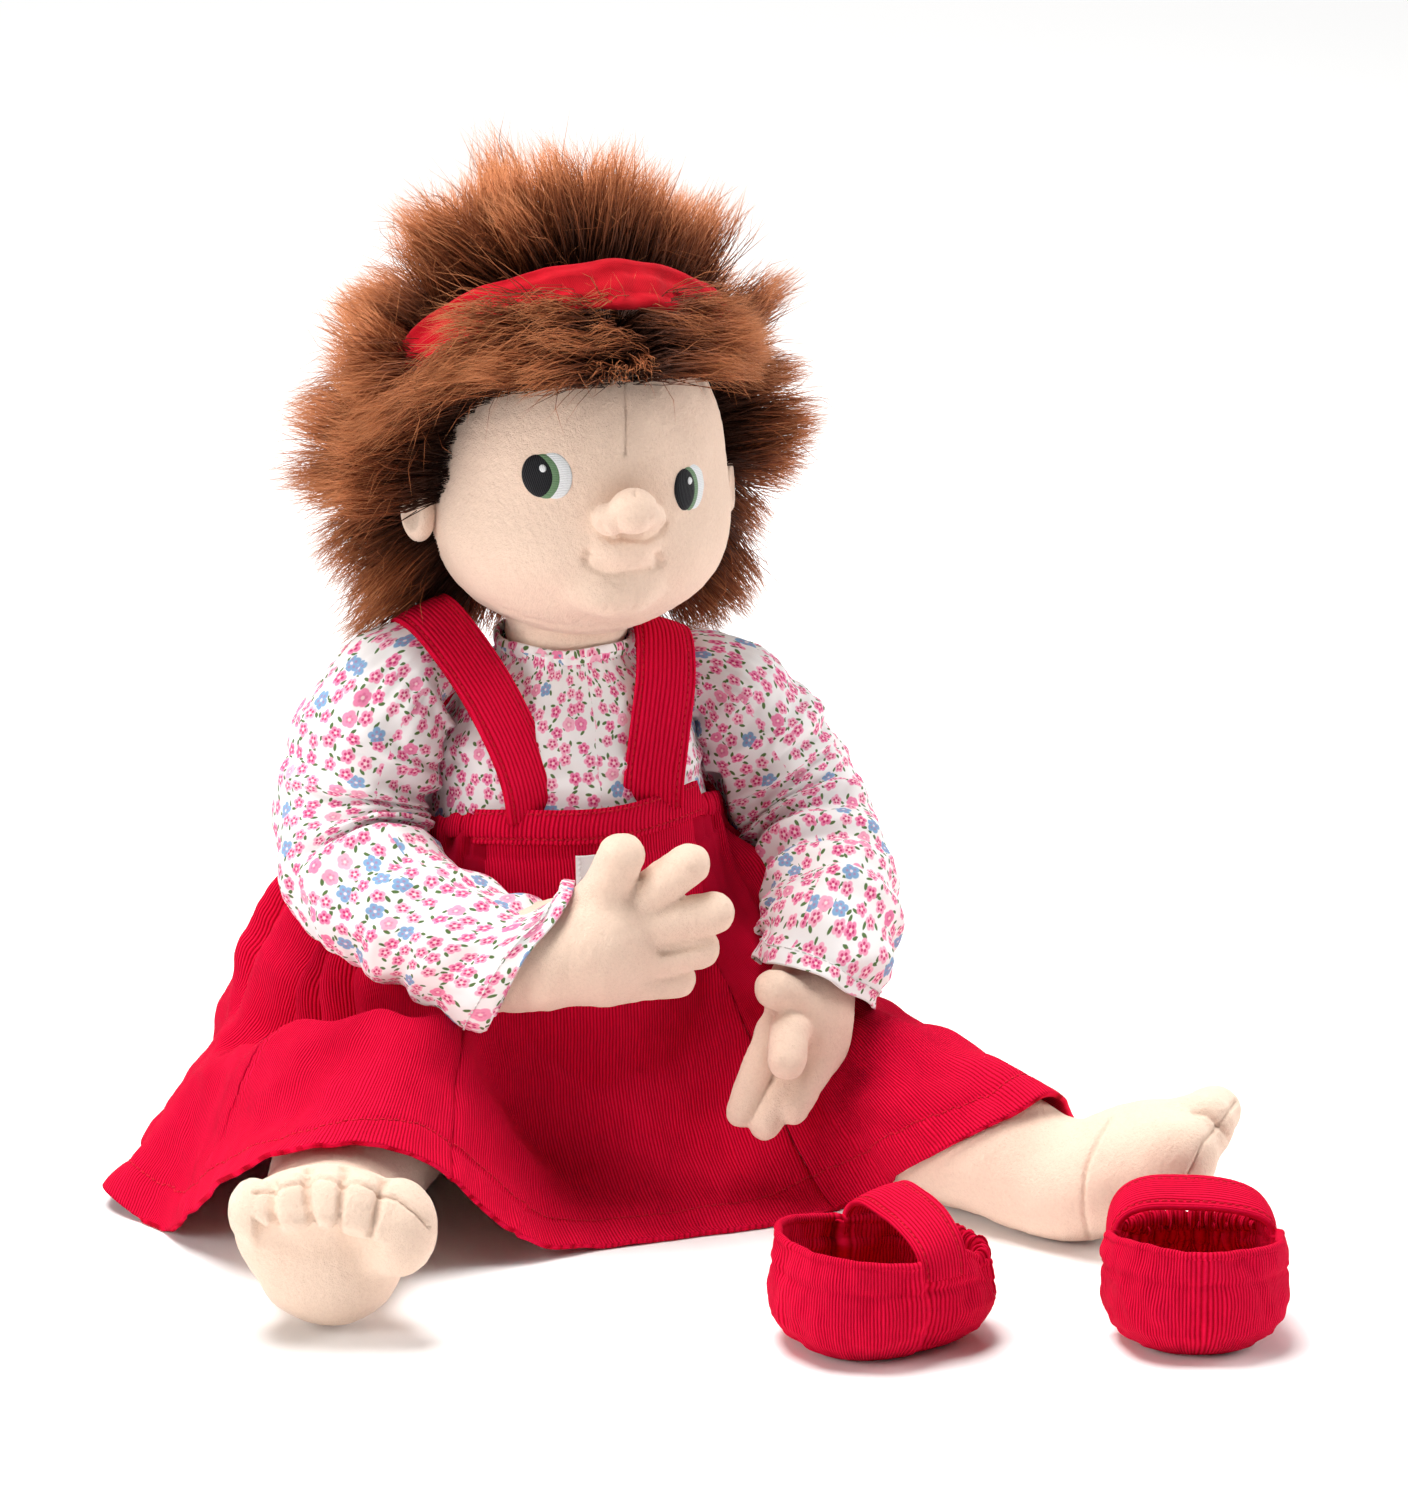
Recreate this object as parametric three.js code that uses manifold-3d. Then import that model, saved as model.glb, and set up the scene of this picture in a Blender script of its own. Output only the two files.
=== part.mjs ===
// A soft stuffed doll, seated on the floor, with its wig, headband, shirt, pinafore and a pair of loose shoes.
// Millimetres. +Z is up, the doll faces -Y, its left side is +X, and the origin is the middle of the seat on the floor.
import * as THREE from "three";
import { mergeVertices } from "three/addons/utils/BufferGeometryUtils.js";
import Module from "manifold-3d";

const wasm = await Module();
wasm.setup();

// ---------------------------------------------------------------- driving dimensions
const GAP = 0.35; // clearance between pieces that touch
const SKIN = 1.6; // thickness of the velour skin
const COTTON = 1.2; // thickness of the shirt
const CORD = 1.6; // thickness of the corduroy
const DRESS_OFF = 2.7; // the pinafore's inside over the trunk
const TORSO_SIDES = 20;
const LIMB_SIDES = 10;

// torso profile: height, half width, half depth
const TORSO = [
  [0, 36, 34],
  [6, 41, 39],
  [25, 44, 42],
  [55, 48, 45],
  [86, 48, 43],
  [104, 46, 41],
  [120, 43, 38],
  [138, 39, 33],
  [150, 33, 28],
  [158, 26, 24.5],
  [163, 22, 22],
];
const PELLET_TOP = 25;
const SHIRT_HEM_Z = 66;

const HEAD_CENTRE = [5, 2, 226];
const HEAD_HALF = [46, 51, 52];
const NECK_RADIUS = 18.5;
const NECK_Z = [163.6, 175.5];
const HEAD_OPENING_Z = 176;

const SHOULDER = [57, 0, 153];
const ARMHOLE_RADIUS = 21;
const HIP = [60, -20, 22];
const HIP_SOCKET = 21.4;

const BIB_TOP_Z = 126;
const SKIRT_TOP_Z = 117;
const STRAP_WIDTH = 19;

const SHOE_LENGTH = 66;
const SHOE_WIDTH = 54;
const SHOE_HEIGHT = 27;
const SHOE_WALL = 2.2;
const SHOE_A = { x: 37, y: -198, turn: -80 };
const SHOE_B = { x: 127, y: -219, turn: -16 };

// ---------------------------------------------------------------- colours
const PEACH = 0xf0cfae;
const PEACH_SHADE = 0xe9c3a0;
const FILL = 0xf4f1ea;
const PELLET = 0xd9d4c8;
const PRINT = 0xf3dfe2;
const RED = 0xb80d22;
const RED_DARK = 0xa00a1d;
const BROWN = 0x6a3620;
const BROWN_BACK = 0x3a1d12;

const part = new THREE.Group();
part.name = "stuffed_doll";

// ---------------------------------------------------------------- helpers
const V = (x, y, z) => new THREE.Vector3(x, y, z);

// A welded copy of a geometry with its faces pointing outwards.
function tidy(geo) {
  const g = geo.clone();
  for (const name of ["normal", "uv"]) if (g.getAttribute(name)) g.deleteAttribute(name);
  const m = mergeVertices(g, 1e-4);
  const p = m.attributes.position,
    idx = m.index.array;
  let vol = 0;
  const a = V(0, 0, 0),
    b = V(0, 0, 0),
    c = V(0, 0, 0);
  for (let i = 0; i < idx.length; i += 3) {
    a.fromBufferAttribute(p, idx[i]);
    b.fromBufferAttribute(p, idx[i + 1]);
    c.fromBufferAttribute(p, idx[i + 2]);
    vol += a.dot(b.cross(c));
  }
  if (vol < 0)
    for (let i = 0; i < idx.length; i += 3)
      [idx[i + 1], idx[i + 2]] = [idx[i + 2], idx[i + 1]];
  return m;
}

function solid(geo) {
  const m = tidy(geo);
  return new wasm.Manifold(
    new wasm.Mesh({
      numProp: 3,
      vertProperties: new Float32Array(m.attributes.position.array),
      triVerts: new Uint32Array(m.index.array),
    }),
  );
}

function geometry(man) {
  const m = man.getMesh(),
    n = m.numProp,
    v = new Float32Array(m.numVert * 3);
  for (let i = 0; i < m.numVert; i++)
    v.set(m.vertProperties.subarray(i * n, i * n + 3), i * 3);
  return new THREE.BufferGeometry()
    .setAttribute("position", new THREE.BufferAttribute(v, 3))
    .setIndex(new THREE.BufferAttribute(new Uint32Array(m.triVerts), 1));
}

// Keeps the largest body of a cut solid.
function largest(man) {
  const bodies = man.decompose();
  bodies.sort((a, b) => b.volume() - a.volume());
  return bodies[0];
}

function add(name, shape, colour, roughness = 0.9, metalness = 0) {
  const geo = shape.isBufferGeometry ? tidy(shape) : geometry(shape);
  geo.computeVertexNormals();
  const mesh = new THREE.Mesh(
    geo,
    new THREE.MeshStandardMaterial({ color: colour, roughness, metalness, flatShading: true }),
  );
  mesh.name = name;
  part.add(mesh);
  return mesh;
}

// Rows of rings from one pole to the other, laid on a sphere's mesh. The first and last rows are points.
function blob(rows, sides) {
  const g = new THREE.SphereGeometry(1, sides, rows.length - 1);
  const p = g.attributes.position;
  rows.forEach((row, k) => {
    for (let i = 0; i <= sides; i++) {
      const v = row.isVector3 ? row : row((2 * Math.PI * (i % sides)) / sides);
      p.setXYZ(k * (sides + 1) + i, v.x, v.y, v.z);
    }
  });
  return g;
}

// Rows of rings that close on themselves, laid on a turned profile's mesh.
function sleeveLoop(rows, sides) {
  const n = rows.length;
  const profile = Array.from({ length: n + 1 }, (_, j) => new THREE.Vector2(1, j));
  const g = new THREE.LatheGeometry(profile, sides);
  const p = g.attributes.position;
  for (let i = 0; i <= sides; i++)
    for (let j = 0; j <= n; j++) {
      const v = rows[j % n]((2 * Math.PI * (i % sides)) / sides);
      p.setXYZ(i * (n + 1) + j, v.x, v.y, v.z);
    }
  return g;
}

// A thin panel: outer and inner skins of a sheet given by f(u, v, w), with w 0 inside and 1 outside.
function sheet(f, nu, nv) {
  const g = new THREE.BoxGeometry(1, 1, 1, nu, nv, 1);
  const p = g.attributes.position;
  for (let i = 0; i < p.count; i++) {
    const v = f(p.getX(i) + 0.5, p.getY(i) + 0.5, p.getZ(i) + 0.5);
    p.setXYZ(i, v.x, v.y, v.z);
  }
  return g;
}

function table(rows, x) {
  if (x <= rows[0][0]) return rows[0].slice(1);
  for (let i = 1; i < rows.length; i++)
    if (x <= rows[i][0]) {
      const t = (x - rows[i - 1][0]) / (rows[i][0] - rows[i - 1][0]);
      return rows[i].slice(1).map((b, k) => rows[i - 1][k + 1] + t * (b - rows[i - 1][k + 1]));
    }
  return rows[rows.length - 1].slice(1);
}

// phi 0 is the front, +90 degrees the doll's left
function torsoPoint(phi, z, off) {
  const [a, b] = table(TORSO, z);
  return V((a + off) * Math.sin(phi), -(b + off) * Math.cos(phi), z);
}
const torsoRing = (z, off) => (t) => torsoPoint(t, z, off);

// Stations along a curved limb, with a radius at each.
function stations(points, radii, n) {
  const curve = new THREE.CatmullRomCurve3(points.map((q) => V(...q)), false, "centripetal");
  const frames = curve.computeFrenetFrames(n, false);
  return Array.from({ length: n + 1 }, (_, k) => {
    const u = k / n,
      c = curve.getPointAt(u),
      s = u * (radii.length - 1),
      i = Math.min(Math.floor(s), radii.length - 2);
    return {
      c,
      r: radii[i] + (s - i) * (radii[i + 1] - radii[i]),
      t: frames.tangents[k],
      n: frames.normals[k],
      b: frames.binormals[k],
    };
  });
}
const ringAt = (s, r, c = s.c) => (t) =>
  c.clone().addScaledVector(s.n, r * Math.cos(t)).addScaledVector(s.b, r * Math.sin(t));

// A stuffed limb with rounded ends; off thickens or thins it.
function limb(points, radii, n, off = 0, sides = LIMB_SIDES, caps = 2) {
  const st = stations(points, radii, n),
    rows = [],
    first = st[0],
    last = st[st.length - 1];
  const end = (s, dir, k) => {
    const r = s.r + off,
      a = (Math.PI / 2) * (k / (caps + 1));
    return ringAt(s, r * Math.sin(a), s.c.clone().addScaledVector(s.t, dir * r * Math.cos(a) * 0.8));
  };
  rows.push(first.c.clone().addScaledVector(first.t, -(first.r + off) * 0.8));
  for (let k = 1; k <= caps; k++) rows.push(end(first, -1, k));
  for (const s of st) rows.push(ringAt(s, s.r + off));
  for (let k = caps; k >= 1; k--) rows.push(end(last, 1, k));
  rows.push(last.c.clone().addScaledVector(last.t, (last.r + off) * 0.8));
  return blob(rows, sides);
}

// A limb with flat ends.
function flatLimb(points, radii, n, off = 0, sides = LIMB_SIDES, startGrow = 0, endGrow = 0) {
  const st = stations(points, radii, n);
  st[0].c.addScaledVector(st[0].t, -startGrow);
  st[n].c.addScaledVector(st[n].t, endGrow);
  return blob(
    [st[0].c.clone(), ...st.map((s) => ringAt(s, s.r + off)), st[n].c.clone()],
    sides,
  );
}

function ellipsoid(centre, half, axes, w = 16, h = 12) {
  const g = new THREE.SphereGeometry(1, w, h);
  const m = new THREE.Matrix4();
  const [ax, ay, az] = axes || [V(1, 0, 0), V(0, 1, 0), V(0, 0, 1)];
  m.makeBasis(
    ax.clone().multiplyScalar(half[0]),
    ay.clone().multiplyScalar(half[1]),
    az.clone().multiplyScalar(half[2]),
  );
  m.setPosition(V(...centre));
  return g.applyMatrix4(m);
}

function finger(from, to, r) {
  const a = V(...from),
    b = V(...to),
    d = b.clone().sub(a);
  const g = new THREE.CapsuleGeometry(r, d.length(), 2, 7, 1);
  g.applyQuaternion(new THREE.Quaternion().setFromUnitVectors(V(0, 1, 0), d.clone().normalize()));
  const c = a.add(b).multiplyScalar(0.5);
  return g.translate(c.x, c.y, c.z);
}

const ball = (c, r, w = 14, h = 9) => solid(ellipsoid(c, [r, r, r], null, w, h));
const mirror = (q, side) => [q[0] * side, q[1], q[2]];

// ---------------------------------------------------------------- trunk
const levels = TORSO.map((r) => r[0]);
const topZ = levels[levels.length - 1];
const sockets = [1, -1]
  .map((s) => ball(mirror(SHOULDER, s), ARMHOLE_RADIUS))
  .reduce((a, b) => a.add(b));
const hips = [1, -1]
  .map((s) => ball(mirror(HIP, s), HIP_SOCKET))
  .reduce((a, b) => a.add(b));

const skinOuter = levels.map((z) => torsoRing(z, 0));
const skinInner = levels
  .filter((z) => z > 3)
  .reverse()
  .map((z) => torsoRing(z, -SKIN));
add(
  "torso_skin",
  largest(
    solid(
      blob(
        [V(0, 0, 0), ...skinOuter, ...skinInner, torsoRing(SKIN, -4), V(0, 0, SKIN)],
        TORSO_SIDES,
      ),
    )
      .subtract(sockets)
      .subtract(hips),
  ),
  PEACH,
);

const fillLevels = levels.filter((z) => z > PELLET_TOP + 1 && z < topZ);
const fillOff = -SKIN - GAP;
add(
  "torso_filling",
  largest(
    solid(
      blob(
        [
          V(0, 0, PELLET_TOP + GAP),
          torsoRing(PELLET_TOP + GAP, fillOff - 0.3),
          ...fillLevels.map((z) => torsoRing(z, fillOff)),
          V(0, 0, 160),
        ],
        TORSO_SIDES,
      ),
    )
      .subtract(sockets)
      .subtract(hips),
  ),
  FILL,
  1,
);
add(
  "seat_pellet_bag",
  largest(
    solid(
      blob(
        [
          V(0, 0, SKIN + GAP),
          torsoRing(SKIN + GAP, -6),
          torsoRing(6, fillOff - 0.2),
          torsoRing(16, fillOff - 0.3),
          torsoRing(PELLET_TOP - 0.5, fillOff - 1.5),
          V(0, 0, PELLET_TOP - 0.5),
        ],
        TORSO_SIDES,
      ),
    ).subtract(hips),
  ),
  PELLET,
);

const neckRing = (z, r) => (t) => V(r * Math.sin(t), -r * Math.cos(t), z);
add(
  "neck_skin",
  sleeveLoop(
    [
      neckRing(NECK_Z[0], NECK_RADIUS),
      neckRing(NECK_Z[1], NECK_RADIUS),
      neckRing(NECK_Z[1], NECK_RADIUS - SKIN),
      neckRing(NECK_Z[0], NECK_RADIUS - SKIN),
    ],
    24,
  ),
  PEACH_SHADE,
);
add(
  "neck_filling",
  new THREE.CylinderGeometry(NECK_RADIUS - SKIN - GAP, NECK_RADIUS - SKIN - GAP, NECK_Z[1] - NECK_Z[0] - 0.4, 24)
    .rotateX(Math.PI / 2)
    .translate(0, 0, (NECK_Z[0] + NECK_Z[1]) / 2),
  FILL,
  1,
);

// ---------------------------------------------------------------- shirt
const shirtLevels = [SHIRT_HEM_Z, ...levels.filter((z) => z > SHIRT_HEM_Z && z < 160)];
add(
  "shirt_body",
  largest(
    solid(
      sleeveLoop(
        [
          ...shirtLevels.map((z) => torsoRing(z, GAP + COTTON)),
          ...shirtLevels.slice().reverse().map((z) => torsoRing(z, GAP)),
        ],
        TORSO_SIDES,
      ),
    ).subtract(sockets),
  ),
  PRINT,
);
add(
  "shirt_neck_binding",
  sleeveLoop(
    [
      torsoRing(158.4, GAP),
      torsoRing(158.4, GAP + 2.4),
      torsoRing(162, GAP + 2.2),
      torsoRing(162, GAP),
    ],
    TORSO_SIDES,
  ),
  PRINT,
);

// ---------------------------------------------------------------- pinafore
// the skirt's fall by angle from the front: r and z of its upper control, lower control and hem
const SKIRT_UPPER = [
  [0, 50, 90],
  [20, 50, 86],
  [32, 50, 72],
  [42, 49, 64],
  [56, 49, 62],
  [66, 50, 60],
  [74, 50, 58],
  [88, 51, 56],
  [106, 60, 80],
  [125, 88, 112],
  [150, 78, 104],
  [180, 72, 100],
];
const SKIRT_LOWER = [
  [0, 84, 32],
  [20, 84, 28],
  [32, 76, 24],
  [42, 70, 45],
  [56, 72, 46],
  [66, 72, 43],
  [74, 70, 34],
  [88, 70, 28],
  [106, 96, 46],
  [125, 112, 62],
  [150, 98, 50],
  [180, 92, 48],
];
const SKIRT_HEM = {
  right: [
    [0, 92, 2],
    [18, 95, 2],
    [28, 100, 3],
    [35, 112, 18],
    [41, 130, 45],
    [48, 145, 48],
    [55, 149, 48.5],
    [61, 149, 48.5],
    [67, 150, 41],
    [73, 152, 16],
    [79, 153, 3],
    [90, 146, 2],
    [106, 132, 2],
    [125, 120, 2],
    [150, 106, 2],
    [180, 102, 2],
  ],
  left: [
    [0, 92, 2],
    [18, 95, 2],
    [30, 100, 2],
    [35, 106, 14],
    [38, 118, 36],
    [42, 138, 46],
    [48, 154, 48],
    [55, 156, 48.5],
    [61, 154, 48],
    [67, 152, 41],
    [73, 152, 16],
    [79, 152, 3],
    [90, 146, 2],
    [106, 132, 2],
    [125, 120, 2],
    [150, 106, 2],
    [180, 102, 2],
  ],
};
function skirtPoint(phi, v, off, topZ0) {
  const deg = Math.abs((phi * 180) / Math.PI);
  const dir = V(Math.sin(phi), -Math.cos(phi), 0);
  const top = torsoPoint(phi, topZ0, DRESS_OFF + off);
  const [ur, uz] = table(SKIRT_UPPER, deg);
  const [lr, lz] = table(SKIRT_LOWER, deg);
  const [hr, hz] = table(phi < 0 ? SKIRT_HEM.right : SKIRT_HEM.left, deg);
  const k = [(1 - v) ** 3, 3 * v * (1 - v) ** 2, 3 * v * v * (1 - v), v ** 3];
  const r = k[0] * Math.hypot(top.x, top.y) + k[1] * (ur + off) + k[2] * (lr + off) + k[3] * (hr + off);
  const z = k[0] * topZ0 + k[1] * (uz + off * 0.6) + k[2] * (lz + off * 0.9) + k[3] * (hz + (hz > 10 ? off * 0.9 : 0));
  return dir.multiplyScalar(r).setZ(z);
}
const DEG = Math.PI / 180;
const FRONT_TOP = [-50 * DEG, 46 * DEG]; // the bib's sides at its top
const FRONT_HEM = [-33 * DEG, 33 * DEG];
const SEAM = 0.9 * DEG;
const frontEdge = (side, v) => {
  const i = side < 0 ? 0 : 1;
  return FRONT_TOP[i] + (FRONT_HEM[i] - FRONT_TOP[i]) * v;
};
// the skirt from the bib's foot down, and the bib above it, in one panel
const SKIRT_SPLIT = SKIRT_TOP_Z;
add(
  "pinafore_front_panel",
  sheet(
    (u, v, w) => {
      const phi = frontEdge(-1, v) + u * (frontEdge(1, v) - frontEdge(-1, v));
      return skirtPoint(phi, v, w * CORD, SKIRT_SPLIT);
    },
    14,
    7,
  ),
  RED,
);
add(
  "pinafore_bib_band",
  sheet(
    (u, v, w) => {
      const phi = FRONT_TOP[0] + u * (FRONT_TOP[1] - FRONT_TOP[0]);
      return torsoPoint(phi, SKIRT_TOP_Z + GAP + v * (BIB_TOP_Z - SKIRT_TOP_Z - GAP), DRESS_OFF + w * (CORD + 0.4));
    },
    14,
    1,
  ),
  RED,
);
for (const side of [-1, 1]) {
  add(
    side < 0 ? "pinafore_side_right" : "pinafore_side_left",
    sheet(
      (u, v, w) => {
        const a = frontEdge(side, v) + side * SEAM,
          b = side * (Math.PI - 0.4 * DEG),
          phi = a + u * (b - a);
        return skirtPoint(phi, v, w * CORD, SKIRT_SPLIT);
      },
      20,
      7,
    ),
    RED,
  );
}
// gathered elastic casing along the top of the side and back panels
for (const side of [-1, 1])
  add(
    side < 0 ? "pinafore_elastic_right" : "pinafore_elastic_left",
    sheet(
      (u, v, w) => {
        const a = (side < 0 ? FRONT_TOP[0] : FRONT_TOP[1]) + side * 1 * DEG,
          b = side * (Math.PI - 0.4 * DEG),
          phi = a + u * (b - a);
        return torsoPoint(phi, SKIRT_TOP_Z + GAP + v * 5, DRESS_OFF + w * (CORD + 0.2));
      },
      16,
      1,
    ),
    RED_DARK,
  );
// straps over the shoulders
const STRAPS = {
  strap_right: {
    path: [
      [-24, -43.5, 127],
      [-29, -40, 146],
      [-37, -30, 166],
      [-44, -12, 180],
      [-45, 6, 179],
      [-38, 26, 162],
      [-29, 38, 142],
      [-22, 43.5, 124],
    ],
    across: [0.93, 0.3, 0],
  },
  strap_left: {
    path: [
      [15, -46, 127],
      [17, -43, 146],
      [22, -34, 162],
      [28, -14, 170.5],
      [31, 6, 170],
      [30, 26, 157],
      [27, 38, 142],
      [22, 43.5, 124],
    ],
    across: [0.97, -0.22, 0],
  },
};
for (const [name, { path, across }] of Object.entries(STRAPS)) {
  const curve = new THREE.CatmullRomCurve3(path.map((q) => V(...q)), false, "centripetal");
  const side = name.endsWith("right") ? -1 : 1;
  add(
    name,
    sheet(
      (u, v, w) => {
        const c = curve.getPointAt(v),
          t = curve.getTangentAt(v);
        const k = v < 0.5 ? 1 : 1 - (v - 0.5) * 2;
        const d = V(across[0], across[1] * k - (1 - k) * side * 0.3, -0.28 * side * Math.sin(Math.PI * v)).normalize();
        d.addScaledVector(t, -d.dot(t)).normalize();
        const n = d.clone().cross(t).normalize();
        if (n.dot(V(c.x, c.y, c.z - 120)) < 0) n.negate();
        return c.addScaledVector(d, (u - 0.5) * STRAP_WIDTH).addScaledVector(n, w * CORD);
      },
      2,
      18,
    ),
    RED,
  );
}
// a plain folded tab sewn to the bib
add(
  "bib_tab",
  sheet(
    (u, v, w) => {
      const phi = (-13 + u * 8.5) * DEG;
      const z = 103 + v * 8;
      const p = skirtPoint(phi, 0.165 - v * 0.075, CORD + 0.5 + w * 0.7, SKIRT_SPLIT);
      return p.setZ(z);
    },
    2,
    2,
  ),
  0xf5f3ef,
);

// ---------------------------------------------------------------- head
const headSolid = (off, w = 18, h = 13) => {
  const g = new THREE.SphereGeometry(1, w, h).rotateX(Math.PI / 2);
  const p = g.attributes.position;
  for (let i = 0; i < p.count; i++) {
    const x = p.getX(i),
      y = p.getY(i),
      z = p.getZ(i);
    // full cheeks: the lower half is a little wider and comes forward
    const cheek = Math.max(0, Math.min(1, (0.35 - z) / 0.9));
    const jaw = 1 + 0.05 * cheek * (1 - Math.max(0, -z - 0.55));
    p.setXYZ(
      i,
      HEAD_CENTRE[0] + x * (HEAD_HALF[0] + off) * jaw,
      HEAD_CENTRE[1] + y * (HEAD_HALF[1] + off) * jaw,
      HEAD_CENTRE[2] + z * (HEAD_HALF[2] + off),
    );
  }
  return solid(g);
};
const neckHole = (r) =>
  solid(new THREE.CylinderGeometry(r, r, 40, 24).rotateX(Math.PI / 2).translate(0, 0, HEAD_OPENING_Z - 20));
const below = (z) => solid(new THREE.BoxGeometry(300, 300, 100).translate(0, 0, z - 50));
const headOuter = headSolid(0);
add(
  "head_skin",
  largest(
    headOuter
      .subtract(below(HEAD_OPENING_Z))
      .subtract(headSolid(-SKIN))
  ),
  PEACH,
);
add(
  "head_filling",
  headSolid(-SKIN - GAP).subtract(below(HEAD_OPENING_Z + 0.2)),
  FILL,
  1,
);
const headGrown = headSolid(GAP);
const nose = solid(ellipsoid([5, -52, 220], [10, 10, 7.2], null, 12, 8)).subtract(headGrown);
add("nose", largest(nose), PEACH);
const earAt = { ear_right: [-45, 4, 212], ear_left: [55, 4, 212] };
let earsGrown = null;
for (const [name, c] of Object.entries(earAt)) {
  add(name, largest(solid(ellipsoid(c, [5, 7, 9], null, 10, 8)).subtract(headGrown)), PEACH);
  const g = solid(ellipsoid(c, [6, 8, 10], null, 10, 8));
  earsGrown = earsGrown ? earsGrown.add(g) : g;
}

// embroidered eyes: each colour is its own stitched patch
const stitched = headSolid(1).subtract(headGrown);
const column = (cx, cz, hx, hz, sides = 14) =>
  solid(
    new THREE.CylinderGeometry(1, 1, 90, sides)
      .scale(hx, 1, hz)
      .translate(cx, -60, cz),
  );
const EYES = {
  right: { x: -20, z: 231.5, hx: 5, hz: 6.6 },
  left: { x: 27, z: 226, hx: 5, hz: 6.6 },
};
for (const [side, e] of Object.entries(EYES)) {
  const px = e.x,
    pupil = column(px, e.z, e.hx, e.hz),
    pupilGrown = column(px, e.z, e.hx + 0.3, e.hz + 0.3),
    iris = column(px + 1.9, e.z, e.hx + 0.3, e.hz + 0.3),
    irisGrown = column(px + 1.9, e.z, e.hx + 0.6, e.hz + 0.6),
    white = column(px + 4.6, e.z + 0.3, e.hx + 0.4, e.hz + 0.4),
    glint = column(px + 0.8, e.z + 2.6, 1.3, 1.5, 8),
    glintGrown = column(px + 0.8, e.z + 2.6, 1.6, 1.8, 8);
  add("eye_" + side + "_pupil", largest(stitched.intersect(pupil.subtract(glintGrown))), 0x101216, 0.6);
  add("eye_" + side + "_glint", largest(stitched.intersect(glint)), 0xf6f6f6, 0.5);
  add("eye_" + side + "_iris", largest(stitched.intersect(iris.subtract(pupilGrown))), 0x3f7a4c, 0.6);
  add(
    "eye_" + side + "_white",
    largest(stitched.intersect(white.subtract(irisGrown).subtract(pupilGrown))),
    0xf2f3f4,
    0.6,
  );
}

// wig: a knitted backing on the head and the pile on it
const FACE = { x: 5, z: 214, hx: 47, hz: 46 };
const faceOpening = solid(
  new THREE.CylinderGeometry(1, 1, 130, 16).scale(FACE.hx, 1, FACE.hz).translate(FACE.x, -66, FACE.z),
);
const nape = below(198).add(solid(new THREE.BoxGeometry(300, 120, 60).translate(0, -64, 180)));
add(
  "wig_backing",
  largest(
    headSolid(GAP + 1.4).subtract(headGrown).subtract(faceOpening).subtract(earsGrown).subtract(nape),
  ),
  BROWN_BACK,
  1,
);
const BAND = { centre: [4, 16, 246], rx: 55.5, rd: 56.5, half: 8.5, thick: 3 };
const bandDir = V(0, -0.72, 0.69).normalize();
const bandAcross = V(1, 0, 0);
const bandNormal = bandAcross.clone().cross(bandDir).normalize();
const bandRing = (grow, along) => (t) =>
  V(...BAND.centre)
    .addScaledVector(bandAcross, (BAND.rx + grow) * Math.sin(t))
    .addScaledVector(bandDir, (BAND.rd + grow) * Math.cos(t))
    .addScaledVector(bandNormal, along);
const bandLoop = (inner, outer, half) =>
  sleeveLoop([bandRing(inner, -half), bandRing(outer, -half), bandRing(outer, half), bandRing(inner, half)], 24);
const groove = solid(bandLoop(-GAP, 60, BAND.half + GAP));
add(
  "wig_pile",
  largest(
    solid(ellipsoid([-2, 8, 252], [82, 72, 73], null, 20, 12))
      .subtract(headSolid(GAP * 2 + 1.4))
      .subtract(faceOpening)
      .subtract(earsGrown)
      .subtract(nape)
      .subtract(groove),
  ),
  BROWN,
  1,
);
add("headband", bandLoop(0, BAND.thick, BAND.half), RED);

// ---------------------------------------------------------------- arms
const ARMS = {
  right: {
    path: [
      [-57, 0, 153],
      [-64, 1, 140],
      [-71, 0, 119],
      [-75, -10, 102],
      [-70, -32, 93],
      [-56, -51, 90.5],
      [-39, -67, 90],
    ],
    wrist: [
      [-39, -67, 90],
      [-27, -74, 92],
      [-15, -78, 95],
    ],
    palm: { c: [-9, -80, 96], half: [18, 11.5, 18] },
    fingers: [
      [[-14, -81, 108], [-7, -85, 121], 8],
      [[2, -82, 108], [14, -85, 115], 7.6],
      [[4, -83, 99], [20, -87, 103], 7.6],
      [[4, -83, 91], [17, -86, 91], 7.4],
      [[-2, -82, 83], [12, -82, 80], 7],
    ],
    cap: [-47, 0, 163],
  },
  left: {
    path: [
      [57, 0, 153],
      [63, 1, 140],
      [71, 1, 122],
      [79, -6, 106],
      [80, -22, 94],
      [76, -40, 85],
      [69, -55, 78.5],
    ],
    wrist: [
      [69, -55, 78.5],
      [63, -62, 72],
      [57, -69, 65],
    ],
    palm: { c: [53, -74, 61], half: [13, 12, 17] },
    fingers: [
      [[56, -77, 67], [46, -80, 72], 8],
      [[50, -80, 58], [44, -91, 53], 8],
      [[49, -78, 50], [42, -86, 39], 8],
      [[44, -77, 50], [34, -84, 37], 7.6],
      [[54, -75, 54], [49, -81, 42], 7.2],
    ],
    cap: [47, 0, 163],
  },
};
const ARM_RADII = [12.5, 14.6, 15, 15, 14.8, 14.6, 14.4];
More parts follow.
